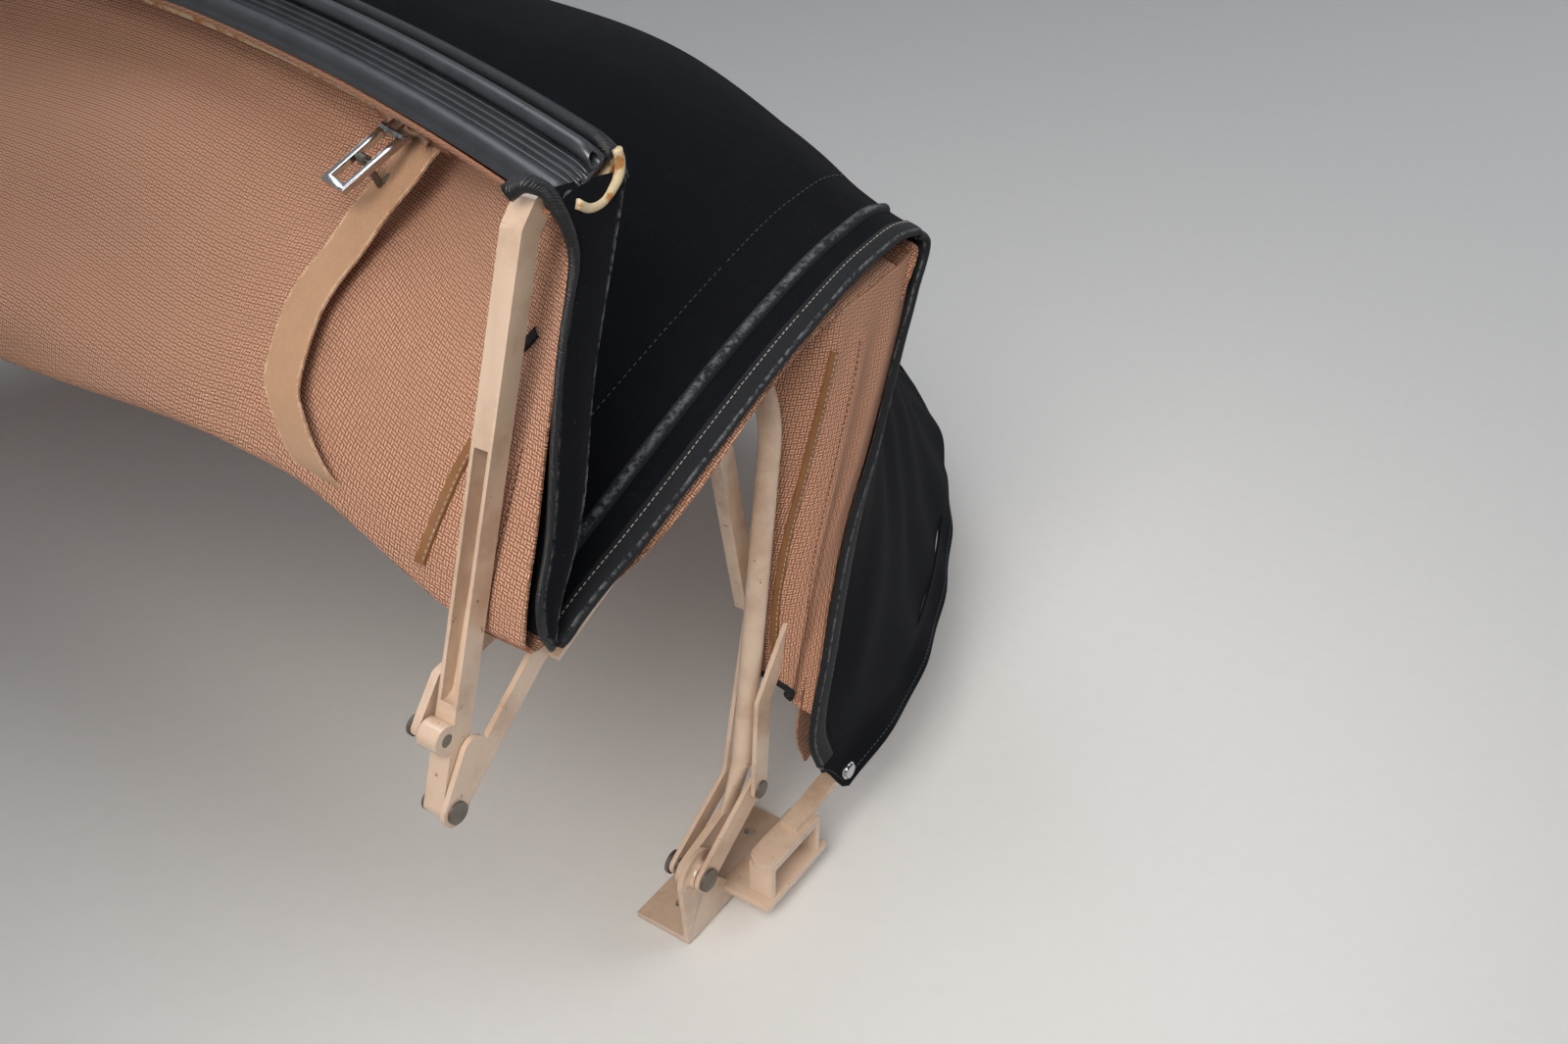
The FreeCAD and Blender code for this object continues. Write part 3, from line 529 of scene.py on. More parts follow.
@dataclass
class Workshop:
    """Keeps the built materials and hands each piece its finish and motion."""

    materials: dict[str, bpy.types.Material] = field(default_factory=dict)

    def dress(self, piece: bpy.types.Object, finish: Finish, motion: Motion) -> bpy.types.Object:
        """Gives a piece its material and motion.

        Args:
            piece: The piece, its mesh in place.
            finish: What it is made of.
            motion: What it follows.

        Returns:
            The same piece.
        """
        piece.data.materials.clear()
        piece.data.materials.append(self.of(finish))
        motion.apply(piece)
        LOG.info("%s: %s, %d faces", piece.name, finish.name, len(piece.data.polygons))
        return piece

    def of(self, finish: Finish) -> bpy.types.Material:
        """The finish's material, built once."""
        if finish.name not in self.materials:
            self.materials[finish.name] = finish.material()
        return self.materials[finish.name]


@dataclass(frozen=True)
class Row:
    """A line of a sheet across the car: its half from the hem, as x and the way along the run.

    The base is the side-view place (y, z) of the hem, and the run the side-view direction in which
    the line rises.
    """

    base: Pair
    run: Pair
    half: tuple[Pair, ...]

    def toward(self, other: "Row", share: float, base: Pair) -> "Row":
        """A row between this one and another, with its hem at its own place."""
        def mean(first: Sequence[float], second: Sequence[float]) -> tuple:
            """Numbers between two lists of them."""
            return tuple(a + (b - a) * share for a, b in zip(first, second))
        half = tuple(mean(a, b) for a, b in zip(self.half, other.half))
        return Row(base, mean(self.run, other.run), half)

    def points(self, count: int) -> np.ndarray:
        """Samples the line from the left hem to the right at equal spacing.

        Args:
            count: Number of points.

        Returns:
            Places in millimetres from the pivots' line.
        """
        knots = np.array(list(self.half) + [(-x, s) for x, s in self.half[-2::-1]])
        fine = smooth_through(knots, 40 * len(knots))
        steps = np.r_[0.0, np.cumsum(np.linalg.norm(np.diff(fine, axis=0), axis=1))]
        want = np.linspace(0.0, steps[-1], count)
        x = np.interp(want, steps, fine[:, 0])
        s = np.interp(want, steps, fine[:, 1])
        run = np.array(self.run) / math.hypot(*self.run)
        return np.stack((x, self.base[0] + run[0] * s, self.base[1] + run[1] * s), axis=1)


def smooth_through(knots: np.ndarray, count: int) -> np.ndarray:
    """Smooth curve through knots, whose spacing sets its speed.

    Args:
        knots: Places, first index the knot, last the coordinate.
        count: Number of points to return.

    Returns:
        Points on the curve.
    """
    gaps = np.linalg.norm(np.diff(knots, axis=0), axis=-1)
    while gaps.ndim > 1:
        gaps = gaps.mean(axis=-1)
    t = np.r_[0.0, np.cumsum(gaps)]
    slopes = np.gradient(knots, t, axis=0)
    want = np.linspace(0.0, t[-1], count)
    at = np.clip(np.searchsorted(t, want, side="right") - 1, 0, len(t) - 2)
    width = t[at + 1] - t[at]
    shape = (-1,) + (1,) * (knots.ndim - 1)
    s = ((want - t[at]) / width).reshape(shape)
    width = width.reshape(shape)
    return ((2 * s ** 3 - 3 * s ** 2 + 1) * knots[at] + (s ** 3 - 2 * s ** 2 + s) * width * slopes[at]
            + (3 * s ** 2 - 2 * s ** 3) * knots[at + 1] + (s ** 3 - s ** 2) * width * slopes[at + 1])


@dataclass
class Cloth:
    """Surface of a sheet: lines along it and columns from its left hem to its right one."""

    points: np.ndarray

    @staticmethod
    def through(rows: Sequence[Row], columns: int, lines: int) -> "Cloth":
        """Surface through rows, in metres."""
        knots = np.stack([row.points(columns) for row in rows])
        return Cloth(metres(smooth_through(knots, lines)))

    def across(self) -> np.ndarray:
        """Distance of each point from the left hem along its line."""
        steps = np.linalg.norm(np.diff(self.points, axis=1), axis=2)
        return np.concatenate((np.zeros((len(steps), 1)), np.cumsum(steps, axis=1)), axis=1)

    def along(self) -> np.ndarray:
        """Distance of each point from the first line along its column."""
        steps = np.linalg.norm(np.diff(self.points, axis=0), axis=2)
        return np.concatenate((np.zeros((1, steps.shape[1])), np.cumsum(steps, axis=0)), axis=0)

    def normals(self) -> np.ndarray:
        """Unit normals, pointing to the side of the outer face."""
        side = np.gradient(self.points, axis=1)
        down = np.gradient(self.points, axis=0)
        square = np.cross(down, side)
        return square / np.maximum(np.linalg.norm(square, axis=2, keepdims=True), 1e-12)

    def moved(self, heights: np.ndarray) -> "Cloth":
        """The surface with each point raised by a height in metres."""
        return Cloth(self.points + self.normals() * heights[..., None])

    def part(self, first: int, last: int) -> "Cloth":
        """The lines from first to last."""
        return Cloth(self.points[first:last + 1])

    def flat(self) -> np.ndarray:
        """Flat layout: distance from the centre line and from the first line."""
        across = self.across()
        return np.stack((across - across[:, -1:] / 2.0, self.along()), axis=2)

    def edge(self) -> np.ndarray:
        """Distance of each point from the nearer side hem."""
        across = self.across()
        return np.minimum(across, across[:, -1:] - across)

    def sample(self, line: np.ndarray, hem: np.ndarray, height: np.ndarray,
               side: Side) -> np.ndarray:
        """Places over the surface.

        Args:
            line: Line numbers, whole or between.
            hem: Distance from the side's hem in metres.
            height: Height over the outer face in metres.
            side: Which hem.

        Returns:
            Places in metres, of the inputs' common shape by three.
        """
        line, hem, height = np.broadcast_arrays(line, hem, height)
        width = np.interp(line, np.arange(len(self.points)), self.across()[:, -1])
        column = hem / width * (self.points.shape[1] - 1)
        if side is Side.RIGHT:
            column = self.points.shape[1] - 1 - column
        return self.over(line, column, height)

    def over(self, line: np.ndarray, column: np.ndarray, height: np.ndarray | float) -> np.ndarray:
        """Places at line and column numbers, raised over the outer face by a height in metres."""
        line, column, height = np.broadcast_arrays(line, column, height)
        return self.between(self.points, line, column) + (
            self.between(self.normals(), line, column) * height[..., None])

    def find(self, x: np.ndarray, z: np.ndarray) -> tuple[np.ndarray, np.ndarray]:
        """Line and column numbers of the points at places seen from behind.

        Args:
            x: Places across in metres.
            z: Heights in metres.

        Returns:
            Line numbers and column numbers.
        """
        line = np.full(x.shape, len(self.points) / 2.0)
        column = np.full(x.shape, self.points.shape[1] / 2.0)
        for _ in range(30):
            here = self.between(self.points, line, column)
            down = self.between(self.points, line + 1.0, column)[..., 2] - here[..., 2]
            side = self.between(self.points, line, column + 1.0)[..., 0] - here[..., 0]
            line = np.clip(line + 0.7 * (z - here[..., 2]) / down, 0.0, len(self.points) - 2.0)
            column = np.clip(column + 0.7 * (x - here[..., 0]) / side, 0.0, self.points.shape[1] - 2.0)
        return line, column

    def mirrored(self) -> "Cloth":
        """The same surface on the other side of the car."""
        return Cloth(self.points[:, ::-1] * (-1.0, 1.0, 1.0))

    def between(self, values: np.ndarray, line: np.ndarray, column: np.ndarray) -> np.ndarray:
        """Values at places between grid points, carried on past the hems."""
        j = np.clip(np.floor(line).astype(int), 0, values.shape[0] - 2)
        i = np.clip(np.floor(column).astype(int), 0, values.shape[1] - 2)
        a = (line - j)[..., None]
        b = (column - i)[..., None]
        return ((values[j, i] * (1 - b) + values[j, i + 1] * b) * (1 - a)
                + (values[j + 1, i] * (1 - b) + values[j + 1, i + 1] * b) * a)

    def area(self) -> float:
        """Area of the surface in square metres."""
        side = np.diff(self.points, axis=1)[:-1]
        down = np.diff(self.points, axis=0)[:, :-1]
        return float(np.linalg.norm(np.cross(side, down), axis=2).sum())

    def piece(self, name: str, keep: np.ndarray | None = None) -> bpy.types.Object:
        """The surface as an object."""
        lines, columns = self.points.shape[:2]
        return grid_piece(name, columns, lines, self.points, self.flat(), self.edge(), keep=keep)


@dataclass
class Trim:
    """What is sewn along the side hems of a sheet: tape, welts and rows of stitches."""

    cloth: Cloth
    motion: Motion
    shop: Workshop
    pieces: list[bpy.types.Object] = field(default_factory=list)

    def strip(self, name: str, outline: Sequence[Pair], finish: Finish, lines: tuple[float, float],
              count: int, closed: bool = False, thick_mm: float = 0.0, ridge_mm: float = 0.0) -> None:
        """Lays a strip along both hems.

        Args:
            name: Name of the piece.
            outline: Its section as (distance from the hem, height) pairs in millimetres.
            finish: What it is made of.
            lines: First and last line.
            count: Points along it.
            closed: Whether the section is a closed outline.
            thick_mm: Thickness of an open section.
            ridge_mm: Distance from the hem of the line that wears first.
        """
        section = np.array(list(outline) + ([outline[0]] if closed else [])) * MM
        line = np.linspace(*lines, count)[:, None]
        for side in Side:
            places = self.cloth.sample(line, section[None, :, 0], section[None, :, 1], side)
            width = np.r_[0.0, np.cumsum(np.linalg.norm(np.diff(section, axis=0), axis=1))]
            run = np.r_[0.0, np.cumsum(np.linalg.norm(np.diff(places[:, 0], axis=0), axis=1))]
            flat = np.stack(np.meshgrid(width, run), axis=2)
            edge = np.broadcast_to(np.abs(section[None, :, 0] - ridge_mm * MM), places.shape[:2])
            if side is Side.RIGHT:
                places = places[:, ::-1]
                flat = flat[:, ::-1]
                edge = edge[:, ::-1]
            made = grid_piece(f"{name}_{side.name.lower()}", len(section), count, places, flat,
                              edge, around=closed, capped=closed)
            if thick_mm:
                thickened(made, thick_mm, 0.0)
            self.pieces.append(self.shop.dress(made, finish, self.motion))

    def stitches(self, name: str, finish: Finish, hem_mm: float, lines: tuple[float, float],
                 pitch_mm: float, length_mm: float, width_mm: float, height_mm: float = 0.4,
                 slant: float = 0.0) -> None:
        """Sews a row of stitches along both hems at a distance from them."""
        line = np.linspace(*lines, 400)
        for side in Side:
            track = self.cloth.sample(line, np.array(hem_mm * MM), np.array(height_mm * MM), side)
            inner = self.cloth.sample(line, np.array((hem_mm + 2.0) * MM), np.array(height_mm * MM),
                                      side)
            made = sewn(f"{name}_{side.name.lower()}", track, inner - track, pitch_mm, length_mm,
                        width_mm, slant)
            self.pieces.append(self.shop.dress(made, finish, self.motion))


def sewn(name: str, track: np.ndarray, across: np.ndarray, pitch_mm: float, length_mm: float,
         width_mm: float, slant: float = 0.0) -> bpy.types.Object:
    """Makes a row of stitches along a line.

    Args:
        name: Name of the piece.
        track: Points of the line in metres.
        across: Direction square to the line at each point, lying in the cloth.
        pitch_mm: Spacing of the stitches.
        length_mm: Length of a stitch.
        width_mm: Its width.
        slant: Turn of a stitch from the line, in radians.

    Returns:
        The object.
    """
    steps = np.r_[0.0, np.cumsum(np.linalg.norm(np.diff(track, axis=0), axis=1))]
    bm = bmesh.new()
    for start in np.arange(0.5 * pitch_mm * MM, steps[-1] - pitch_mm * MM * 0.5, pitch_mm * MM):
        ends = [np.array([np.interp(start + d, steps, track[:, k]) for k in range(3)])
                for d in (0.0, length_mm * MM)]
        run = Vector(ends[1] - ends[0]).normalized()
        near = int(np.searchsorted(steps, start))
        side = Vector(across[min(near, len(across) - 1)])
        up = run.cross(side).normalized()
        side = up.cross(run).normalized()
        turn = Matrix((run, side, up)).transposed() @ Matrix.Rotation(slant, 3, "Z")
        scale = Matrix.Diagonal((length_mm * MM, width_mm * MM, width_mm * MM * 0.8))
        place = Matrix.Translation(Vector((ends[0] + ends[1]) / 2.0)) @ (turn @ scale).to_4x4()
        cube = bmesh.ops.create_cube(bm, size=1.0, matrix=place)
        for v in cube["verts"]:
            local = place.inverted() @ v.co
            if local.z > 0.0:
                v.co = place @ Vector((local.x * 0.7, local.y * 0.6, local.z))
    return finished(name, bm)


def swept(name: str, track: np.ndarray, radii: np.ndarray, sides: int = 12) -> bpy.types.Object:
    """Makes a round bead along a line.

    Args:
        name: Name of the piece.
        track: Points of the line in metres.
        radii: Radius at each point in metres.
        sides: Corners round the bead.

    Returns:
        The object.
    """
    run = np.gradient(track, axis=0)
    run /= np.linalg.norm(run, axis=1, keepdims=True)
    first = np.cross(run, (1.0, 0.0, 0.0))
    first /= np.linalg.norm(first, axis=1, keepdims=True)
    second = np.cross(run, first)
    angle = np.linspace(0.0, math.tau, sides + 1)[None, :, None]
    places = track[:, None] + radii[:, None, None] * (np.cos(angle) * first[:, None]
                                                      + np.sin(angle) * second[:, None])
    steps = np.r_[0.0, np.cumsum(np.linalg.norm(np.diff(track, axis=0), axis=1))]
    flat = np.stack(np.meshgrid(np.linspace(0.0, math.tau * radii.mean(), sides + 1), steps), axis=2)
    return grid_piece(name, sides + 1, len(track), places, flat, around=True, capped=True)


def lay_strip(shop: Workshop, motion: Motion, name: str, cloth: Cloth, where: tuple, width: float,
              finish: Finish | None, face_mm: float, thread: Finish | None) -> None:
    """Lays a strip with stitches on a cloth, or stitches alone where its width is nought.

    Args:
        shop: Holds the materials.
        motion: What the cloth follows.
        name: Name of the strip.
        cloth: The surface.
        where: Line numbers and column numbers of the strip's middle.
        width: Its width in millimetres.
        finish: What it is made of.
        face_mm: Height of the visible face over the surface, below nought on its inner side.
        thread: Finish of the stitches, if it has any.
    """
    up = math.copysign(1.0, face_mm)
    track = cloth.over(*where, face_mm * MM)
    lift = cloth.over(*where, (face_mm + up) * MM) - track
    across = np.cross(lift, np.gradient(track, axis=0))
    across /= np.linalg.norm(across, axis=1, keepdims=True)
    if width:
        offsets = np.array((-0.5, -0.42, 0.42, 0.5)) * width * MM
        rise = np.array((-0.6, 0.6, 0.6, -0.6))
        places = track[:, None] + across[:, None] * offsets[:, None] + lift[:, None] * rise[:, None]
        steps = np.r_[0.0, np.cumsum(np.linalg.norm(np.diff(track, axis=0), axis=1))]
        flat = np.stack(np.meshgrid(offsets, steps), axis=2)
        strip = thickened(grid_piece(name, 4, len(track), places, flat), 0.8, 0.0)
        shop.dress(strip, finish, motion)
        track = track + across * width * 0.3 * MM + lift * 1.1
    if thread:
        shop.dress(sewn(f"{name}_stitches", track, across, 4.2, 2.6, 0.7), thread, motion)


def lay_lines(shop: Workshop, motion: Motion, cloth: Cloth, table: Sequence[tuple], count: int,
              face_mm: float, side: Side) -> None:
    """Lays the strips and seams of a table on one side of a cloth.

    Args:
        shop: Holds the materials.
        motion: What the cloth follows.
        cloth: The surface.
        table: Rows of name, places as shares of the lines and columns, width, finish and thread.
        count: Points along each strip.
        face_mm: Height of the visible face over the surface.
        side: Which side, as the table counts its columns from the left.
    """
    lines, columns = (size - 1 for size in cloth.points.shape[:2])
    for kind, path, width, finish, thread in table:
        line, share = smooth_through(np.array(path), count).T
        column = share * columns
        if side is Side.RIGHT:
            column = columns - column
        lay_strip(shop, motion, f"{kind}_{side.name.lower()}", cloth, (line * lines, column), width,
                  finish, face_mm, thread)


# Rows of the sheets, counted like the solids' own; each is a half from its hem to the crown
RUN = (0.9007, 0.4344)
HEADER_ARC = ((600.0, 0.0), (500.0, 26.1), (400.0, 47.5), (220.0, 74.0), (0.0, 85.5))
LINING_ARC = ((592.0, 0.0), (493.0, 26.1), (395.0, 47.5), (220.0, 74.0), (0.0, 85.5))
LINING_HIGH_ARC = ((594.0, 0.0), (556.0, 17.0), (498.0, 41.0), (400.0, 76.0), (220.0, 106.0), (0.0, 118.0))
HIGH_ARC = ((606.0, 0.0), (560.0, 22.0), (500.0, 46.0), (400.0, 78.0), (220.0, 106.0), (0.0, 118.0))
FOLD_ARC = ((623.0, 0.0), (585.0, 0.0), (560.0, 3.0), (527.0, 20.0), (495.0, 41.0), (460.0, 58.0),
            (411.0, 64.0), (200.0, 50.0), (0.0, 41.0))
LINING_FOLD_ARC = ((610.0, 0.0), (576.0, 0.0), (556.0, 3.0), (524.0, 20.0), (492.0, 41.0),
                   (458.0, 58.0), (408.0, 64.0), (200.0, 50.0), (0.0, 41.0))
LINING_LOW_ARC = ((604.0, 0.0),) + LINING_FOLD_ARC[1:]
MIDDLE_ARC = ((621.0, 0.0), (580.0, 14.0), (530.0, 30.0), (400.0, 62.0), (220.0, 78.0), (0.0, 84.0))
CREST_ARC = ((620.0, 0.0), (592.0, 8.0), (560.0, 20.0), (521.0, 38.0), (410.0, 80.0), (220.0, 102.0),
             (0.0, 110.0))
HIGH_BACK_ARC = ((625.0, 0.0), (612.0, 25.0), (580.0, 58.0), (500.0, 110.0), (420.0, 144.0),
                 (220.0, 181.0), (0.0, 193.0))
MID_BACK_ARC = ((630.0, 0.0), (618.0, 60.0), (575.0, 130.0), (510.0, 210.0), (430.0, 270.0),
                (230.0, 345.0), (0.0, 372.0))
BASE_ARC = ((650.0, 0.0), (642.0, 130.0), (589.0, 285.0), (518.0, 410.0), (418.0, 508.0),
            (230.0, 618.0), (0.0, 660.0))
# Strips and seams: name, (line, column) shares, width in mm, finish of the strip and of its thread
QUARTER_LINES = (
    ("leather_strip", ((0.1, 0.25), (0.235, 0.222), (0.454, 0.175), (0.62, 0.145), (0.85, 0.145),
                       (0.985, 0.19)), 5.5, LEATHER, THREAD),
    ("quarter_seam", ((0.1, 0.45), (0.41, 0.381), (0.71, 0.39), (0.985, 0.6)), 0.0, None, TAN_THREAD),
    ("front_seam", ((0.45, 0.03), (0.72, 0.04), (0.985, 0.06)), 0.0, None, TAN_THREAD))
FRONT_LINES = (
    ("lining_strip", ((0.59, 0.0425), (0.768, 0.0533), (0.92, 0.061)), 6.5, LEATHER, THREAD),
    ("lining_seam", ((0.5, 0.013), (0.74, 0.0175), (0.95, 0.027)), 0.0, None, TAN_THREAD),
    ("lining_tab", ((0.345, 0.039), (0.29, 0.029), (0.232, 0.020)), 6.0, BINDING, None))
SKIRT_ARC = ((662.0, 0.0), (653.0, 130.0), (600.0, 289.0), (527.0, 415.0), (425.0, 515.0),
             (234.0, 632.0), (0.0, 678.0))


def waves(across: np.ndarray, along: np.ndarray, terms: Sequence[tuple[float, ...]]) -> np.ndarray:
    """Sum of soft ripples.

    Args:
        across: Distance across the cloth in metres.
        along: Distance along it in metres.
        terms: Rows of height in mm, wavelength across and along in mm (0 for none) and phase.

    Returns:
        Heights in metres.
    """
    total = np.zeros_like(across)
    for height, wave_u, wave_v, phase in terms:
        angle = phase
        angle = angle + (across / (wave_u * MM) * math.tau if wave_u else 0.0)
        angle = angle + (along / (wave_v * MM) * math.tau if wave_v else 0.0)
        total = total + height * MM * np.sin(angle)
    return total


def dent(cloth: Cloth, x: float, z: float, width: float, height: float, depth: float) -> np.ndarray:
    """Height of a soft round hollow or swell at a place seen from the front, in millimetres."""
    places = cloth.points / MM - PIVOT
    away = ((places[..., 0] - x) / width) ** 2 + ((places[..., 2] - z) / height) ** 2
    return depth * MM * np.exp(-away)


@dataclass
class RoofCover:
    """Black twill cover over the half folded roof, from the header down to the fold and up again."""

    shop: Workshop
    columns: int = 301
    front_lines: int = 64
    front_rows: tuple[Row, ...] = (
        Row((-28.3, 538.4), RUN, HEADER_ARC),
        Row((-57.0, 485.0), (0.877, 0.480), HIGH_ARC),
        Row((-112.0, 366.0), (0.35, 0.93), FOLD_ARC),
        Row((-136.0, 320.0), (0.0, 1.0), FOLD_ARC),
        Row((-137.5, 313.0), (0.0, 1.0), FOLD_ARC),
        Row((-134.5, 309.5), (0.0, 1.0), FOLD_ARC))
    rear_rows: tuple[Row, ...] = (
        Row((-134.5, 309.5), (0.0, 1.0), FOLD_ARC),
        Row((-130.0, 310.0), (0.0, 1.0), FOLD_ARC),
        Row((-122.0, 314.0), (0.0, 1.0), FOLD_ARC),
        Row((-60.0, 332.0), (0.0, 1.0), MIDDLE_ARC),
        Row((115.0, 396.0), (0.1, 0.995), MIDDLE_ARC),
        Row((192.0, 413.0), (0.25, 0.968), CREST_ARC),
        Row((238.0, 414.0), (0.35, 0.937), CREST_ARC),
        Row((252.0, 410.0), (0.35, 0.937), CREST_ARC))
    rear_lines: int = 96
    flap_edge: tuple[Triple, ...] = (
        (580.0, -95.0, 543.0), (586.0, -90.0, 547.5), (593.0, -83.0, 544.0), (598.0, -79.0, 533.0),
        (602.0, -75.0, 508.0), (605.0, -84.0, 490.0), (607.0, -93.0, 473.0), (612.0, -111.0, 427.0),
        (617.0, -130.0, 367.0), (620.0, -144.0, 338.0), (621.0, -145.0, 322.0), (622.0, -140.0, 309.0))
    flap_start: int = 2
    flap_columns: int = 9
    flap_mm: float = 1.8
    flap_swell: float = 3.5
    hem_points: int = 110
    split_y: float = 118.0

    def build(self) -> None:
        """Builds the cover's sheets and their trim."""
        front = Cloth.through(self.front_rows, self.columns, self.front_lines)
        hollow = dent(front, 430.0, 508.0, 62.0, 30.0, 17.0) + dent(front, -430.0, 508.0, 62.0, 30.0, 17.0)
        front = front.moved(hollow + waves(front.across(), front.along(), (
            (1.2, 310.0, 240.0, 0.4), (0.6, 130.0, 0.0, 1.0))))
        self.sheet("cover_front", front, ("front_canvas",), FRONT_FOLD)
        self.flap(front)
        rear = Cloth.through(self.rear_rows, self.columns, self.rear_lines)
        sway = waves(rear.across(), rear.along(), ((1.6, 420.0, 520.0, 0.8), (0.8, 170.0, -260.0, 0.2)))
        tail = np.clip((self.rear_lines - 1.0 - np.arange(self.rear_lines)) / 14.0, 0.0, 1.0)[:, None]
        rear = rear.moved(sway * np.clip(rear.edge() / 0.05, 0.0, 1.0) * tail)
        y = rear.points[:, 0, 1] / MM - PIVOT[1]
        split = int(np.argmin(np.abs(y - self.split_y)))
        roof = rear.part(0, split)
        crest = rear.part(split, len(rear.points) - 1)
        self.sheet("cover_roof", roof, ("rear_canvas",), ROOF_FOLD)
        self.sheet("cover_crest", crest, (), CREST_FOLD)
        self.trim(roof, ROOF_FOLD, "roof")
        self.trim(crest, CREST_FOLD, "crest")

    def sheet(self, name: str, cloth: Cloth, stands_for: tuple[str, ...], motion: Motion) -> None:
        """Makes one sheet of the cover and hides the imported parts it stands for."""
        piece = thickened(cloth.piece(name), COVER_MM)
        self.shop.dress(piece, TWILL, motion)
        if stands_for:
            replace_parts(piece, *stands_for)

    def flap(self, front: Cloth) -> None:
        """Turns the front sheet's sides forward past the rails, ending in a rolled hem."""
        knots = metres(self.flap_edge)
        edge = smooth_through(knots, self.hem_points)
        gaps = np.linalg.norm(np.diff(knots, axis=0), axis=1)
        first = round(gaps[:self.flap_start].sum() / gaps.sum() * (self.hem_points - 1))
        lines = len(edge) - first
        share = np.linspace(0.0, 1.0, lines)
        line = share * (len(front.points) - 1)
        corner = front.sample(line, np.array(0.4 * MM), np.array(-0.8 * MM), Side.LEFT)
        across = np.linspace(0.0, 1.0, self.flap_columns)[None, :, None]
        near = edge[first:]
        places = corner[:, None] * (1.0 - across) + near[:, None] * across
        swell = np.sin(np.pi * across[..., 0]) * np.sin(np.pi * share)[:, None] ** 0.3
        places[..., 0] += self.flap_swell * MM * swell
        reach = np.interp(np.linspace(0.0, 1.0, len(edge)), (0.0, 0.12, 0.3, 1.0), (5.0, 4.0, 2.4, 2.1))
        for side in Side:
            name = side.name.lower()
            turn = (1.0 if side is Side.LEFT else -1.0, 1.0, 1.0)
            flap = Cloth(places[:, ::-1] if side is Side.LEFT else places * turn)
            piece = thickened(flap.piece(f"side_flap_{name}"), self.flap_mm, 0.0)
            self.shop.dress(piece, TWILL, FRONT_FOLD)
            bead = swept(f"rolled_hem_{name}", edge * turn, reach * MM)
            self.shop.dress(bead, ROLLED, FRONT_FOLD)

    def trim(self, cloth: Cloth, motion: Motion, place: str) -> None:
        """Sews tape round the hems, a raised welt inside them and two rows of stitches."""
        trim = Trim(cloth, motion, self.shop)
        last = len(cloth.points) - 1
        lines = (0.0, float(last))
        count = 2 * last
        trim.strip(f"hem_tape_{place}", ((13.0, 0.3), (12.0, 1.0), (5.0, 1.3), (0.5, 1.2), (-1.6, 0.2),
                                         (-2.2, -1.0), (-1.6, -2.4), (0.5, -3.2), (6.0, -3.3)),
                   BINDING, lines, count, thick_mm=0.9)
        trim.stitches(f"hem_stitches_{place}", THREAD, 10.0, lines, 4.2, 3.0, 0.7, 1.6)
        trim.strip(f"welt_{place}", ((27.0, 0.1), (28.0, 1.8), (30.0, 3.0), (32.5, 3.0), (34.5, 1.8),
                                     (35.5, 0.1)), WELT, lines, count, thick_mm=0.6, ridge_mm=31.2)
        trim.stitches(f"seam_stitches_{place}", DARK_THREAD, 72.0, lines, 5.5, 3.2, 0.6, 0.3)


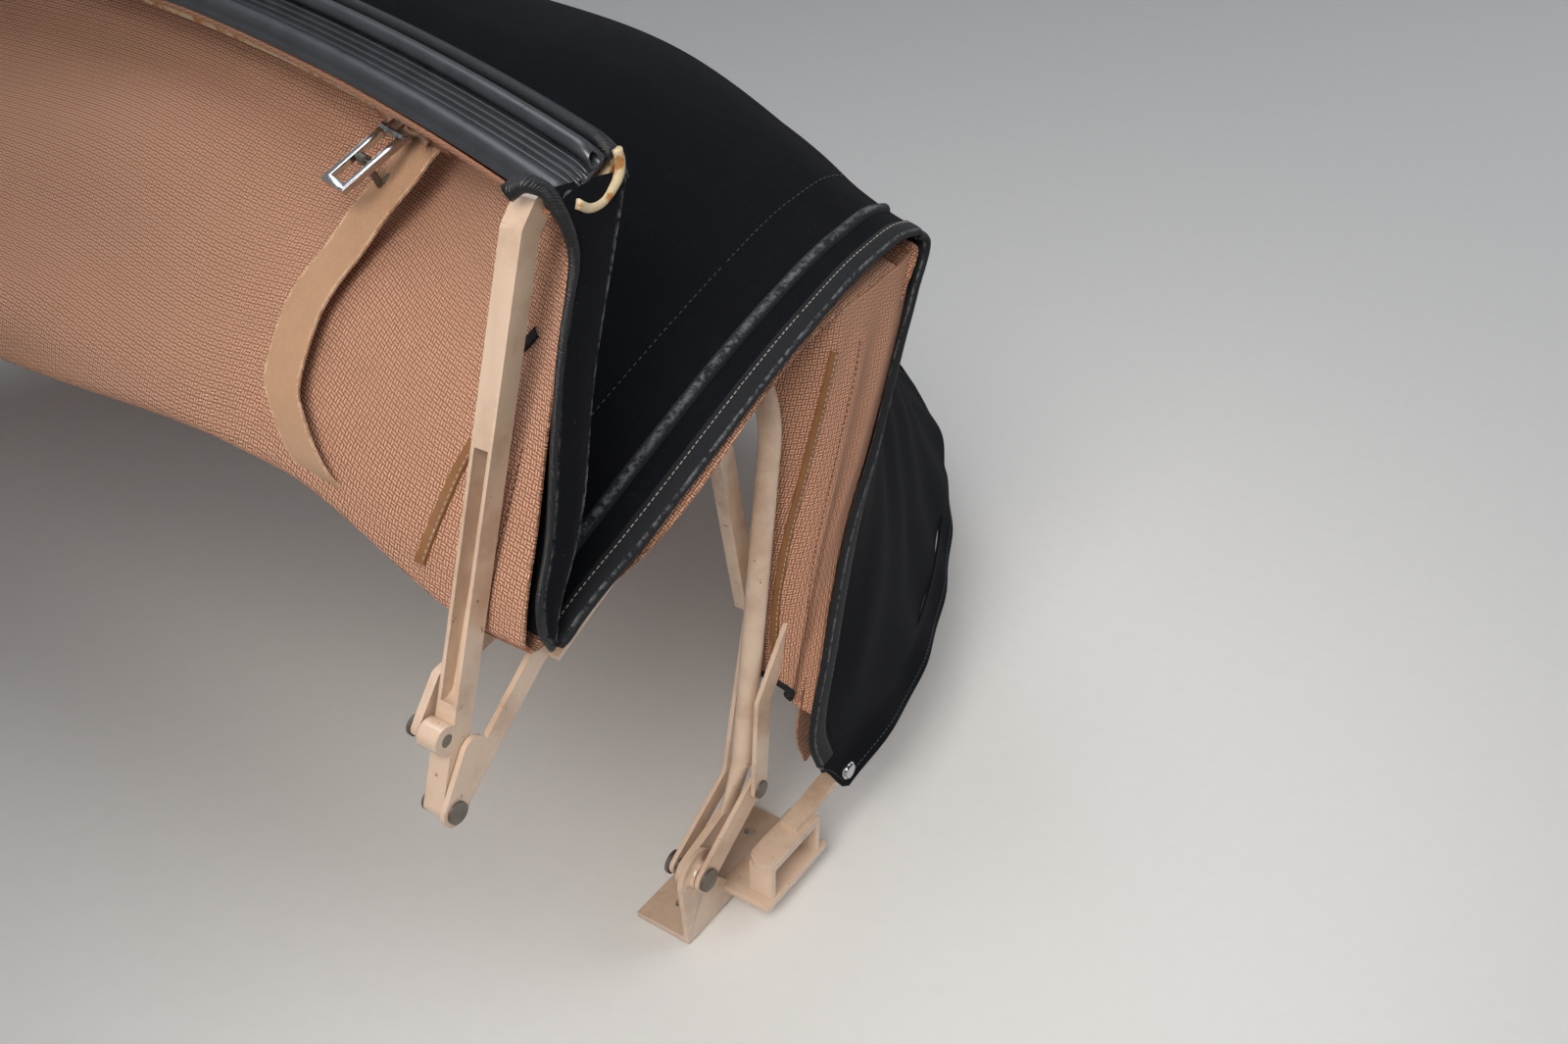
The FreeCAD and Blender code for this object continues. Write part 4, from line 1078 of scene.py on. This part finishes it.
@dataclass
class BackPanel:
    """Rear part of the cover, from the crest down to the body, with its window and skirt."""

    shop: Workshop
    columns: int = 361
    lines: int = 90
    skirt_lines: int = 14
    lining_gap: float = 13.0
    pane_gap: float = 2.6
    pane_mm: float = 1.0
    start: Row = Row((249.6, 408.2), (0.35, 0.937), CREST_ARC)
    crest: Row = Row((262.0, 402.0), (0.35, 0.937), CREST_ARC)
    high: Row = Row((221.0, 326.0), (0.874, 0.486), HIGH_BACK_ARC)
    middle: Row = Row((156.0, 223.0), (0.978, 0.207), MID_BACK_ARC)
    base: Row = Row((90.0, 60.0), (0.998, 0.068), BASE_ARC)
    window_half: float = 310.0
    window_z: Pair = (230.0, 425.0)
    corner: float = 45.0

    def build(self) -> None:
        """Builds the panel, its lining, window and skirt."""
        rows = (self.start, self.crest, self.crest.toward(self.high, 0.5, (246.0, 368.0)), self.high,
                self.high.toward(self.middle, 0.5, (190.0, 270.0)), self.middle,
                self.middle.toward(self.base, 0.5, (110.0, 140.0)),
                self.middle.toward(self.base, 0.86, (84.0, 84.0)), self.base)
        panel = Cloth.through(rows, self.columns, self.lines)
        fade = np.clip(panel.edge() / 0.06, 0.0, 1.0)
        fade = fade * np.clip(np.arange(self.lines) / 12.0, 0.0, 1.0)[:, None]
        places = np.abs(panel.points / MM - PIVOT - (0.0, 0.0, sum(self.window_z) / 2.0))
        beside = np.maximum(places[..., 0] - self.window_half, places[..., 2] - 98.0)
        fade = fade * np.clip(beside / 70.0, 0.15, 1.0)
        panel = panel.moved(fade * waves(panel.across(), panel.along(), (
            (2.6, 260.0, -340.0, 0.3), (1.5, 120.0, 210.0, 1.1))))
        inside = self.window_share(panel, 0.0)
        piece = thickened(panel.piece("cover_back", keep=~inside), COVER_MM)
        self.shop.dress(piece, TWILL, BACK_FOLD)
        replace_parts(piece, "back_canvas")
        hole = 4.0 * self.window_half * (self.window_z[1] - self.window_z[0]) / 2.0 * MM * MM * 1.1
        panel.area() - hole
        trim = Trim(panel, BACK_FOLD, self.shop)
        last = float(len(panel.points) - 1)
        trim.strip("hem_tape_back", ((16.0, 0.3), (15.0, 1.1), (6.0, 1.6), (0.5, 1.5), (-1.8, 0.2),
                                     (-2.4, -1.0), (-1.8, -2.4), (0.5, -3.4), (9.0, -3.6)),
                   BINDING, (0.0, last), 150, thick_mm=1.0)
        trim.stitches("hem_stitches_back", DARK_THREAD, 13.0, (0.0, last), 4.6, 3.0, 0.6, 1.8)
        window = panel.moved(np.full(panel.points.shape[:2], -self.pane_gap * MM))
        near = self.window_share(panel, 18.0)
        pane = thickened(window.piece("window_sheet", keep=near), self.pane_mm)
        self.shop.dress(pane, VINYL, BACK_FOLD)
        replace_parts(pane, "rear_window")
        self.border(panel)
        self.lining(panel)
        self.skirt()

    def border(self, panel: Cloth) -> None:
        """Tape round the window on both faces, with its stitches."""
        low, high = self.window_z
        ring = []
        for turn, x, z in ((0.0, 1.0, 1.0), (90.0, -1.0, 1.0), (180.0, -1.0, -1.0), (270.0, 1.0, -1.0)):
            for angle in np.radians(turn + np.linspace(0.0, 90.0, 13)):
                ring.append((x * (self.window_half - self.corner), z * ((high - low) / 2.0 - self.corner),
                             math.cos(angle), math.sin(angle)))
        ring = np.array(ring + [ring[0]])
        steps = np.r_[0.0, np.cumsum(np.linalg.norm(np.diff(ring[:, :2] + ring[:, 2:] * self.corner,
                                                            axis=0), axis=1))]
        want = np.linspace(0.0, steps[-1], 361)
        ring = np.stack([np.interp(want, steps, ring[:, k]) for k in range(4)], axis=1)

        def track(reach: np.ndarray | float, height: np.ndarray | float) -> np.ndarray:
            """Places round the window at distances out from its edge and heights over the panel, in mm."""
            away = self.corner + np.atleast_1d(reach)[None]
            x = ring[:, :1] + ring[:, 2:3] * away
            z = ring[:, 1:2] + ring[:, 3:4] * away + (low + high) / 2.0
            line, column = panel.find((x + PIVOT[0]) * MM, (z + PIVOT[2]) * MM)
            return panel.over(line, column, np.atleast_1d(height)[None] * MM)

        reach = np.array((-9.0, -8.0, 15.0, 16.0))
        flat = np.stack(np.meshgrid(reach * MM, want * MM), axis=2)
        for name, heights in (("window_border", (0.1, 1.2, 1.2, 0.1)),
                              ("window_border_inside", (-3.4, -4.6, -4.6, -3.4))):
            piece = thickened(grid_piece(name, 4, len(ring), track(reach, np.array(heights)), flat), 0.8, 0.0)
            self.shop.dress(piece, BINDING, BACK_FOLD)
        line, inner = track(11.0, 1.9)[:, 0], track(8.0, 1.9)[:, 0]
        self.shop.dress(sewn("window_stitches", line, inner - line, 4.6, 3.0, 0.6), DARK_THREAD, BACK_FOLD)

    def window_share(self, cloth: Cloth, margin: float) -> np.ndarray:
        """Which points lie inside the rounded window, widened by a margin."""
        places = cloth.points / MM - PIVOT
        x = np.abs(places[..., 0]) - (self.window_half + margin - self.corner)
        low, high = self.window_z
        z = np.abs(places[..., 2] - (low + high) / 2.0) - ((high - low) / 2.0 + margin - self.corner)
        away = np.hypot(np.maximum(x, 0.0), np.maximum(z, 0.0))
        return (away < self.corner) & (places[..., 1] > 100.0)

    def lining(self, panel: Cloth) -> None:
        """Tan lining behind the panel, cut out round the window."""
        inner = panel.moved(np.full(panel.points.shape[:2], -self.lining_gap * MM))
        wide = self.window_share(panel, 30.0)
        piece = thickened(inner.piece("lining_back", keep=~wide), LINING_MM)
        self.shop.dress(piece, LINING, BACK_FOLD)
        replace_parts(piece, "back_lining")
        inner.area() * 0.85

    def skirt(self) -> None:
        """Skirt that snaps down round the body, with a hem."""
        rows = (Row((90.0, 60.0), (0.998, 0.068), BASE_ARC),
                Row((89.0, 44.0), (0.998, 0.068), BASE_ARC),
                Row((85.0, 25.0), (0.998, 0.068), SKIRT_ARC))
        cloth = Cloth.through(rows, self.columns, self.skirt_lines)
        away = np.clip(cloth.edge() / 0.030, 0.0, 1.0)
        lift = (1.0 - away * away * (3.0 - 2.0 * away)) * 0.85
        points = cloth.points * (1.0 - lift[..., None]) + cloth.points[:1] * lift[..., None]
        cloth = Cloth(points).moved(waves(cloth.across(), cloth.along(), ((1.2, 90.0, 160.0, 0.4),))
                                    * np.linspace(0.0, 1.0, self.skirt_lines)[:, None])
        column = np.linspace(0.0, self.columns - 1.0, 900)
        track, inner = (cloth.over(np.array(line), column, 0.6 * MM) for line in (11.2, 9.2))
        self.shop.dress(sewn("skirt_stitches", track, inner - track, 4.6, 3.0, 0.6), DARK_THREAD, ON_ROOT)
        piece = thickened(cloth.piece("cover_skirt"), COVER_MM)
        self.shop.dress(piece, TWILL, ON_ROOT)
        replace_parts(piece, "skirt")


@dataclass
class RoofLining:
    """Tan lining under the half folded roof, rolled round the fold."""

    shop: Workshop
    columns: int = 301
    front_lines: int = 70
    rear_lines: int = 90
    wrap_lines: int = 16
    wrap_mm: float = 1.2
    wrap_rows: tuple[Row, ...] = (
        Row((-78.6, 530.8), RUN, LINING_ARC),
        Row((-77.4, 527.6), RUN, LINING_ARC),
        Row((-58.4, 523.6), RUN, LINING_ARC),
        Row((-41.1, 531.6), RUN, LINING_ARC))
    front_rows: tuple[Row, ...] = (
        Row((-41.1, 532.8), RUN, LINING_ARC),
        Row((-64.4, 488.2), (0.877, 0.480), LINING_HIGH_ARC),
        Row((-122.0, 372.0), (0.30, 0.95), LINING_LOW_ARC),
        Row((-147.0, 320.0), (-0.05, 0.998), LINING_FOLD_ARC),
        Row((-148.5, 310.0), (-0.1, 0.995), LINING_FOLD_ARC),
        Row((-144.0, 304.5), (-0.1, 0.995), LINING_FOLD_ARC))
    rear_rows: tuple[Row, ...] = (
        Row((-144.0, 304.5), (-0.1, 0.995), LINING_FOLD_ARC),
        Row((-136.0, 303.0), (-0.1, 0.995), LINING_FOLD_ARC),
        Row((-125.0, 306.0), (-0.05, 0.998), LINING_FOLD_ARC),
        Row((-60.0, 322.0), (0.0, 1.0), MIDDLE_ARC),
        Row((115.0, 387.0), (0.1, 0.995), MIDDLE_ARC),
        Row((222.0, 395.0), (0.30, 0.954), CREST_ARC))

    def build(self) -> None:
        """Builds the front and rear sheets of the lining."""
        front = Cloth.through(self.front_rows, self.columns, self.front_lines)
        swell = dent(front, -150.0, 460.0, 150.0, 60.0, 9.0)
        for x in (430.0, -430.0):
            swell = swell + dent(front, x, 508.0, 62.0, 30.0, 16.0)
        for hollow in ((160.0, 430.0, 100.0, 24.0, 9.0), (230.0, 478.0, 130.0, 34.0, -15.0),
                       (150.0, 388.0, 120.0, 22.0, -11.0)):
            swell = swell + dent(front, *hollow)
        front = front.moved(waves(front.across(), front.along(), ((1.5, 380.0, -300.0, 0.5),)) + swell)
        for side in Side:
            lay_lines(self.shop, FRONT_FOLD, front, FRONT_LINES, 90, -2.6, side)
        piece = thickened(front.piece("lining_front"), LINING_MM)
        self.shop.dress(piece, LINING, FRONT_FOLD)
        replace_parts(piece, "front_lining")
        wrap = Cloth.through(self.wrap_rows, self.columns, self.wrap_lines)
        piece = thickened(wrap.piece("lining_header"), self.wrap_mm)
        self.shop.dress(piece, LINING, FRONT_FOLD)
        rear = Cloth.through(self.rear_rows, self.columns, self.rear_lines)
        y = rear.points[:, 0, 1] / MM - PIVOT[1]
        split = int(np.argmin(np.abs(y - RoofCover.split_y)))
        roof = rear.part(0, split)
        crest = rear.part(split, len(rear.points) - 1)
        piece = thickened(roof.piece("lining_roof"), LINING_MM)
        self.shop.dress(piece, LINING, ROOF_FOLD)
        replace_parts(piece, "rear_lining")
        piece = thickened(crest.piece("lining_crest"), LINING_MM)
        self.shop.dress(piece, LINING, CREST_FOLD)


@dataclass
class QuarterLining:
    """Slack side lining between the rear hem and the main bow, with its leather strip and seams."""

    shop: Workshop
    columns: int = 64
    lines: int = 120
    thick_mm: float = 1.4
    tape_points: int = 60
    tape_radius: float = 2.6
    hem: tuple[Triple, ...] = (
        (616.0, 250.0, 397.0), (617.0, 238.0, 360.0), (619.0, 220.0, 326.0), (621.0, 190.0, 270.0),
        (624.0, 157.0, 223.0), (634.0, 113.0, 140.0), (640.0, 94.0, 100.0))
    front: tuple[Triple, ...] = (
        (587.0, 117.0, 389.0), (590.0, 113.5, 335.0), (592.5, 107.0, 282.0), (593.0, 98.0, 222.0),
        (593.0, 90.0, 168.0), (596.0, 84.0, 130.0))
    clear: float = 620.0

    def cloth(self) -> Cloth:
        """Surface of the left side, its columns from the main bow back to the hem."""
        front = smooth_through(np.array(self.front), self.lines)[:, None]
        hem = smooth_through(np.array(self.hem), self.lines)[:, None]
        share = np.linspace(0.0, 1.0, self.columns)[None, :]
        down = np.linspace(0.0, 1.0, self.lines)[:, None]
        places = front + (hem - front) * share[..., None]
        lead = np.clip(share / 0.3, 0.0, 1.0)
        tail = np.clip((share - 0.78) / 0.22, 0.0, 1.0)
        x = front[..., 0] + (self.clear - front[..., 0]) * lead * lead * (3.0 - 2.0 * lead)
        x = x + (hem[..., 0] - x) * tail * tail * (3.0 - 2.0 * tail)
        fold = 1.0 + np.sin(math.tau * (2.7 * share + 0.35 * down) - 0.9 + 0.5 * np.sin(5.0 * down))
        places[..., 0] = x + 2.6 * fold * np.sin(np.pi * share) ** 0.7 * np.clip(down * 5.0, 0.2, 1.0)
        return Cloth(metres(places))

    def build(self) -> None:
        """Builds the lining of both sides with its strip, seams and bottom tape."""
        left = self.cloth()
        for side in Side:
            cloth = left if side is Side.LEFT else left.mirrored()
            name = side.name.lower()
            piece = thickened(cloth.piece(f"quarter_lining_{name}"), self.thick_mm, 0.0)
            self.shop.dress(piece, LINING, BACK_FOLD)
            lay_lines(self.shop, BACK_FOLD, cloth, QUARTER_LINES, 140, 1.2, side)
            column = np.linspace(0.0, 0.72, self.tape_points) * (self.columns - 1)
            if side is Side.RIGHT:
                column = self.columns - 1 - column
            bottom = cloth.over(np.array(self.lines - 1.5), column, 0.0)
            tape = swept(f"quarter_tape_{name}", bottom, np.full(self.tape_points, self.tape_radius * MM))
            self.shop.dress(tape, BINDING, BACK_FOLD)


@dataclass
class Header:
    """Rubber seal on the header, the cover's rolled rim and the wooden ends, all along its arch."""

    shop: Workshop
    edge: Pair = (-37.0, 552.0)
    run: Pair = RUN
    out: Pair = (-0.4344, 0.9007)
    rise: float = 85.5
    half_width: float = 598.0
    rim_half_width: float = 599.5
    tube_wall: float = 1.6
    end_points: int = 40
    end_radius: float = 2.8
    end_out: float = 3.0
    beads: tuple[tuple[float, float, float], ...] = (
        (-38.7, 6.2, 7.6), (-28.8, 1.1, 6.2), (-24.8, 1.1, 6.2), (-20.8, 1.1, 6.6))
    tube: tuple[float, float, float] = (-13.2, 7.0, 4.9)
    rim: tuple[Pair, ...] = (
        (2.4, -17.0), (3.2, -9.0), (3.8, -2.0), (3.4, 2.4), (1.6, 5.2), (-1.2, 6.2), (-4.0, 5.2),
        (-6.0, 3.0), (-6.2, 0.6), (0.4, 0.4), (0.4, -17.0))
    shell: tuple[Pair, ...] = ((0.5, -1.0), (-1.0, -8.0), (-5.0, -13.0), (-13.0, -15.6), (-23.0, -15.6),
                               (-32.0, -11.0), (-37.0, -3.0))

    def place(self, x: np.ndarray, along: np.ndarray, out: np.ndarray) -> np.ndarray:
        """Places of the header in metres, from x, the place along its run and out from its face."""
        radius = (600.0 ** 2 + self.rise ** 2) / (2.0 * self.rise)
        sag = self.rise - radius + np.sqrt(radius ** 2 - x ** 2)
        y = self.edge[0] + (along + sag) * self.run[0] + out * self.out[0]
        z = self.edge[1] + (along + sag) * self.run[1] + out * self.out[1]
        return metres(np.stack(np.broadcast_arrays(x, y, z), axis=-1))

    def profile(self) -> list[Pair]:
        """Closed outline of the strip with its broad bead and thin ribs."""
        points = [(-46.6, 0.3), (-46.9, -3.0), (-48.1, -3.0), (-48.3, 0.6), (-47.0, 2.7)]
        for centre, half, height in self.beads:
            foot = 3.0
            for angle in np.linspace(math.pi, 0.0, 9 if half > 3.0 else 5):
                points.append((centre + half * math.cos(angle), foot + (height - foot) * math.sin(angle)))
        return points + [(-17.5, 2.8), (-7.6, 2.8), (-3.0, 2.4), (-2.0, 1.6), (-2.0, 0.3)]

    def drawn(self, name: str, outline: Sequence[Pair], finish: Finish, hollow_mm: float = 0.0,
              half_width: float | None = None) -> bpy.types.Object:
        """Draws a closed outline along the arch."""
        section = np.array(list(outline) + [outline[0]])
        x = np.sin(np.linspace(1.0, -1.0, 201) * math.pi / 2.0) * (half_width or self.half_width)
        droop = 3.4 * np.clip((np.abs(x) - 588.0) / 10.0, 0.0, 1.2) ** 2
        places = self.place(x[:, None], section[None, :, 0], section[None, :, 1] - droop[:, None])
        width = np.r_[0.0, np.cumsum(np.linalg.norm(np.diff(section, axis=0), axis=1))]
        flat = np.stack(np.meshgrid(width * MM, x * MM), axis=2)
        piece = grid_piece(name, len(section), len(x), places, flat, around=True, capped=not hollow_mm)
        if hollow_mm:
            thickened(piece, hollow_mm)
        return self.shop.dress(piece, finish, ON_FRONT)

    def build(self) -> None:
        """Builds the seal strip, its tube, the rim and the ends."""
        strip = self.drawn("seal_strip", self.profile(), RUBBER)
        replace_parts(strip, "header_seal")
        along, out, radius = self.tube
        ring = [(along + radius * math.cos(a), out + radius * math.sin(a))
                for a in np.linspace(0.0, math.tau, 20, endpoint=False)]
        self.drawn("seal_tube", ring, RUBBER, self.tube_wall)
        self.drawn("cover_rim", self.rim, ROLLED, half_width=self.rim_half_width)
        bend = smooth_through(np.array(self.shell), self.end_points)
        for side in Side:
            track = self.place(np.full(self.end_points, self.half_width), bend[:, 0], bend[:, 1])
            track = (track + (self.end_out * MM, 0.0, 0.0)) * (float(side.value), 1.0, 1.0)
            radii = np.full(self.end_points, self.end_radius * MM)
            edge = swept(f"header_end_{side.name.lower()}", track, radii)
            self.shop.dress(edge, WOOD, ON_FRONT)


@dataclass
class Straps:
    """Webbing straps from the latch blocks down and round the fold."""

    shop: Workshop
    width: float = 28.0
    thick_mm: float = 1.6
    points: int = 90
    columns: int = 9
    line: tuple[Triple, ...] = (
        (442.0, -12.0, 518.0), (440.0, -20.0, 513.7), (434.0, -33.0, 500.0), (429.0, -54.0, 484.5),
        (426.0, -74.0, 468.0), (425.0, -93.0, 456.5), (425.0, -108.0, 445.0), (427.0, -118.0, 436.0),
        (430.0, -127.0, 428.0), (434.5, -137.0, 419.5), (438.5, -143.0, 413.5), (446.0, -148.0, 406.0),
        (456.0, -153.0, 393.5), (466.0, -155.0, 380.0), (471.0, -152.0, 370.0), (472.0, -143.0, 360.0),
        (472.0, -128.0, 354.0))

    def build(self) -> None:
        """Builds both straps with their thickness."""
        for side in Side:
            centre = smooth_through(np.array(self.line), self.points)
            steps = np.r_[0.0, np.cumsum(np.linalg.norm(np.diff(centre, axis=0), axis=1))]
            across = np.linspace(0.0, self.width, self.columns)
            places = np.repeat(centre[:, None], self.columns, axis=1)
            places[..., 0] = side.value * (places[..., 0] + (across - self.width / 2.0)[None, ::-side.value])
            flat = np.stack(np.meshgrid(across * MM, steps * MM), axis=2)
            edge = np.broadcast_to(np.minimum(across, self.width - across)[None] * MM,
                                   (self.points, self.columns))
            piece = grid_piece(f"webbing_strap_{side.name.lower()}", self.columns, self.points,
                               metres(places), flat, edge)
            thickened(piece, self.thick_mm, 0.0)
            self.shop.dress(piece, WEBBING, FRONT_FOLD)
            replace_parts(piece, f"strap_{side.name.lower()}")


@dataclass
class Studio:
    """Pale floor, soft lights and the camera at the photograph's angle."""

    shop: Workshop
    place: Triple = (1.085, -0.658, 0.885)
    right: Triple = (0.829, 0.559, 0.0)
    up: Triple = (-0.3127, 0.4636, 0.829)
    back: Triple = (0.4636, -0.6873, 0.5592)
    lens_mm: float = 35.01

    def build(self) -> None:
        """Sets up the floor, world, lights and camera."""
        self.floor()
        self.light()
        self.camera()
        bpy.context.scene.view_settings.view_transform = "Standard"

    def floor(self) -> None:
        """Lays the pale floor."""
        bm = bmesh.new()
        bmesh.ops.create_grid(bm, x_segments=1, y_segments=1, size=12.0)
        bmesh.ops.translate(bm, verts=bm.verts, vec=(0.0, 0.0, -0.002))
        floor = finished("floor", bm)
        matte = Finish("pale_matt_floor", "canvas", "e2e0dc", "dedcd8", 0.9, grain_mm=30.0, bump=0.0)
        floor.data.materials.append(self.shop.of(matte))

    def light(self) -> None:
        """Sets a pale sky and four soft lamps."""
        scene = bpy.context.scene
        scene.world = scene.world or bpy.data.worlds.new("sky")
        scene.world.use_nodes = True
        tree = scene.world.node_tree
        tree.nodes.clear()
        place = node(tree, "SeparateXYZ", {0: node(tree, "TexCoord").outputs["Generated"]}).outputs[2]
        share = node(tree, "MapRange", {0: place, 1: -0.3, 2: 0.3}, interpolation_type="SMOOTHSTEP")
        shade = node(tree, "Mix", {0: share.outputs[0], 6: linear("77746f"), 7: linear("f4f8ff")},
                     data_type="RGBA")
        sky = node(tree, "Background", {"Color": shade.outputs[2], "Strength": 0.3})
        node(tree, "OutputWorld", {"Surface": sky.outputs[0]})
        for name, place, aim, size, spread, power, colour in (
                ("key", (0.95, -0.95, 1.25), (0.74, -0.1, 0.40), 0.8, 68.0, 3.4, "fffaf4"),
                ("front", (-0.3, -1.4, 0.85), (0.4, 0.0, 0.5), 1.0, 180.0, 1.0, "f6f9ff"),
                ("top", (-0.1, 0.0, 1.95), (0.5, 0.0, 0.5), 0.9, 180.0, 8.0, "f4f8ff"),
                ("side", (2.6, 2.6, 2.8), (0.6, 0.6, 0.0), 2.4, 180.0, 40.0, "f4f8ff")):
            lamp = bpy.data.lights.new(name, "AREA")
            lamp.size = size
            lamp.spread = math.radians(spread)
            lamp.energy = power
            lamp.color = linear(colour)[:3]
            made = bpy.data.objects.new(name, lamp)
            made.location = place
            made.rotation_euler = (Vector(aim) - Vector(place)).to_track_quat("-Z", "Y").to_euler()
            scene.collection.objects.link(made)

    def camera(self) -> None:
        """Places the camera."""
        data = bpy.data.cameras.new("camera")
        data.lens = self.lens_mm
        data.sensor_width = 36.0
        data.clip_start = 0.01
        made = bpy.data.objects.new("camera", data)
        turn = Matrix((self.right, self.up, self.back)).transposed().to_4x4()
        made.matrix_world = Matrix.Translation(self.place) @ turn
        bpy.context.scene.collection.objects.link(made)
        bpy.context.scene.camera = made


# Finish of each of the record's slots
NODE_FINISHES = {"steel_paint": ENAMEL, "bare_steel": ZINC, "bright_metal": CHROME,
                 "header_wood": WOOD, "seal_rubber": RUBBER, "canvas": TWILL, "lining": LINING,
                 "webbing": WEBBING, "window": VINYL}

# Bars and plates whose edges are rounded, by the start of the node's name, with their body
SOFTENED = {"front_rail": Body.FRONT, "centre_rail": Body.CENTRE, "rear_rail": Body.MAIN,
            "bracket": Body.ROOT, "rear_bow": Body.ROOT, "crest_arm": Body.CREST,
            "latch_base": Body.FRONT, "latch_lever_left": Body.LEVER_LEFT,
            "latch_lever_right": Body.LEVER_RIGHT}


def dress_frame(shop: Workshop) -> None:
    """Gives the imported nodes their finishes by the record's slots and rounds the bars' edges.

    Args:
        shop: Holds the materials.
    """
    for part in frame["record"]["subparts"]:
        piece = frame["nodes"][part["node"]]
        piece.data.materials.clear()
        finish = NODE_FINISHES[part["material_slot"]]
        piece.data.materials.append(shop.of(finish))
        for start, body in SOFTENED.items():
            if part["node"].startswith(start):
                made = rounded(part["node"], EDGE_MM)
                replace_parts(shop.dress(made, finish, Ride(body)), part["node"])


def main() -> None:
    """Builds every sub-assembly in order."""
    logging.basicConfig(level=logging.INFO, format="%(message)s")
    shop = Workshop()
    dress_frame(shop)
    for assembly in (RoofCover(shop), BackPanel(shop), RoofLining(shop), QuarterLining(shop),
                     Header(shop), Straps(shop), Studio(shop)):
        LOG.info("building %s", type(assembly).__name__)
        assembly.build()


if __name__ == "__main__":
    main()
